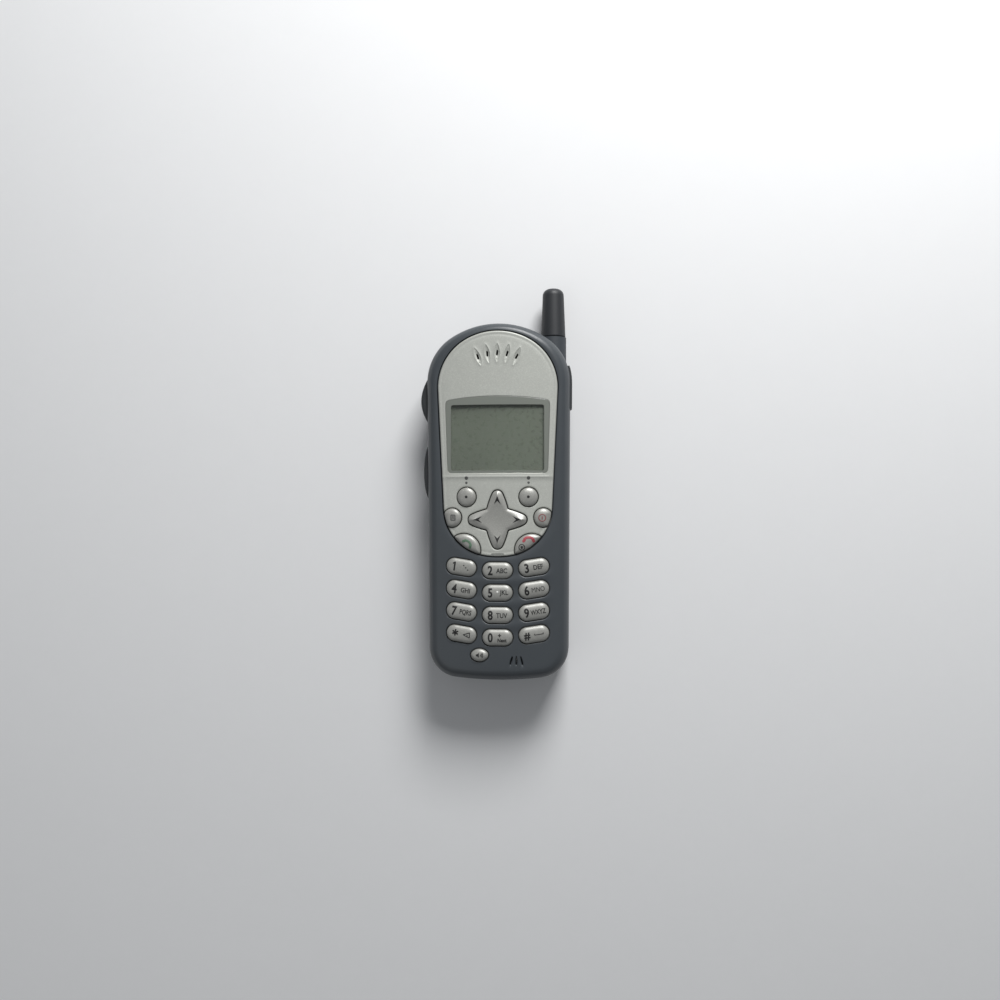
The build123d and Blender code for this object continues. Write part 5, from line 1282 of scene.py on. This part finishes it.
def handset(width, turn=0.0):
    """A bow with an ear at either end, drawn in shares of its width."""
    bow = stroke(arc((0, -0.29 * width), 0.51 * width, radians(42), radians(138), 0.1), 0.2 * width)
    ears = [filled(placed(stadium(0.34 * width, 0.25 * width, MARK_STEP), side * 0.37 * width,
                          -0.03 * width, side * radians(-60))) for side in (-1, 1)]
    return [joined([bow, *ears], turn=turn)]


def page_mark():
    """A sheet with three lines on it."""
    lines = [stroke([(-0.45, y), (0.45, y)], 0.26) for y in (-0.4, 0.05, 0.5)]
    return [stroke([(-0.75, -0.95), (0.75, -0.95), (0.75, 0.95), (-0.75, 0.95)], 0.36, True), *lines]


def power_mark():
    """A ring with an upright stroke inside it."""
    return [stroke(circle(0, 0, 1.25), 0.38, True), stroke([(0, -0.6), (0, 0.6)], 0.4)]


def home_mark():
    """A ring with a small house inside it."""
    return [stroke(circle(0, 0, 1.05), 0.32, True), stroke([(-0.55, 0.0), (0, 0.5), (0.55, 0.0)], 0.24),
            stroke([(0, -0.5), (0, 0.3)], 0.6)]


def sound_mark():
    """A loudspeaker's cone with three arcs before it."""
    cone = np.array([[-1.2, -0.35], [-0.75, -0.35], [-0.15, -0.9],
                     [-0.15, 0.9], [-0.75, 0.35], [-1.2, 0.35]])
    arcs = [stroke(arc((-0.1, 0), radius, radians(-42), radians(42), 0.1), 0.26)
            for radius in (0.55, 0.97, 1.39)]
    return [filled(even(cone, 0.15)), *arcs]


def make_face_legends():
    """The marks of the keys on the face plate and of the loudspeaker's key."""
    for side, name in ((-1, "soft_key_left"), (1, "soft_key_right")):
        key_mark("dot_" + name, [filled(circle(0, 0, 0.5, MARK_STEP))], name, "black",
                 (side * SOFT_KEY_PLACE[0], SOFT_KEY_PLACE[1]))
    for name, parts, key, ink, place in (
            ("legend_menu_key", page_mark(), "menu_key", "grey", (-16.2, -6.0)),
            ("legend_power_key", power_mark(), "power_key", "rose", (16.3, -6.1)),
            ("legend_send_key", handset(4.2, radians(-42)), "send_key", "green", (-11.0, -15.5)),
            ("legend_end_key", handset(4.6), "end_key", "red", (11.4, -14.2)),
            ("home_end_key", home_mark(), "end_key", "black", (8.9, -16.8)),
            ("legend_speaker_key", sound_mark(), "speaker_key", "black", SPEAKER_KEY_PLACE)):
        key_mark(name, parts, key, ink, place)
    # dark filled arrowheads near the tips of the four-way key's lobes, in the same black as the legends
    arrow = even(np.array([(0, ARROW_TIP), (-ARROW_HALF_WIDTH, ARROW_LEG), (0, ARROW_NOTCH),
                           (ARROW_HALF_WIDTH, ARROW_LEG)]), MARK_STEP)
    for quarter, direction in enumerate(("up", "left", "down", "right")):
        key_mark("arrow_" + direction, [filled(arrow)], "nav_key", "black", (0, NAV_PLACE),
                 quarter * np.pi / 2)


def make_dot_marks():
    """Two grey dots over each soft key, on the plate."""
    for side, word in ((-1, "left"), (1, "right")):
        dots = [filled(circle(side * DOT_MARK_PLACE, y, radius, 0.15)) for y, radius in DOT_MARKS]
        printed("soft_key_marks_" + word, dots, "phone_body", "grey", plate_skin)


# ------------------------------------------------------------------ floor, light and camera

def make_floor():
    """Pale floor under the phone, closed and thin, with a faintly uneven tone."""
    half, depth = 1500.0, 4.0
    ring = box_ring(-half, half, -half, half, 500)
    points, faces = prism(ring, -depth, 0.0)
    floor = added("floor", mesh_of("floor", points, faces))
    floor.data.materials.append(grain_finish("floor", (0.74, 0.745, 0.75), 0.7, 0.02, 400.0, 0.1))


def area_light(name, place, size, watts):
    """A square lamp that shines at the origin."""
    lamp = bpy.data.lights.new(name, "AREA")
    lamp.shape, lamp.size, lamp.energy = "SQUARE", size, watts
    thing = added(name, lamp)
    thing.location = place
    thing.rotation_euler = (-Vector(place)).to_track_quat("-Z", "Y").to_euler()


def make_lights():
    """A window over the phone's top end, a weak fill at its foot, and an even room."""
    area_light("window_light", (0.17, 0.56, 0.42), 0.30, 6.2)
    area_light("fill_light", (-0.45, -0.35, 0.60), 0.6, 0.5)
    world = bpy.data.worlds.new("room")
    bpy.context.scene.world = world
    world.use_nodes = True
    backdrop = world.node_tree.nodes["Background"]
    backdrop.inputs["Color"].default_value = (0.93, 0.96, 1.0, 1)
    backdrop.inputs["Strength"].default_value = 0.21


def make_camera():
    """Camera nearly straight over the phone, a little to its right and towards its foot."""
    back = Vector((sin(CAMERA_LEAN[0]), -sin(CAMERA_LEAN[1]), 1)).normalized()
    data = bpy.data.cameras.new("camera")
    data.lens, data.sensor_width = FOCAL_LENGTH, 36.0
    camera = added("camera", data)
    right = Vector((0, 1, 0)).cross(back).normalized()
    above = back.cross(right)
    turned = Matrix((right, above, back)).transposed().to_4x4()
    camera.matrix_world = Matrix.Translation(Vector(CAMERA_TARGET) * MM + back * CAMERA_DISTANCE) @ turned
    bpy.context.scene.camera = camera


# ------------------------------------------------------------------ the phone

for part in frame["record"]["subparts"]:
    surface = frame["nodes"][part["node"]].data
    surface.materials.clear()
    surface.materials.append(FINISHES[part["material_slot"]])

make_face_plate()
make_front_housing()
make_keys()
make_lens()
make_number_legends()
make_face_legends()
make_nib()
make_dot_marks()
make_floor()
make_lights()
make_camera()
bpy.context.scene.view_settings.view_transform = "Standard"
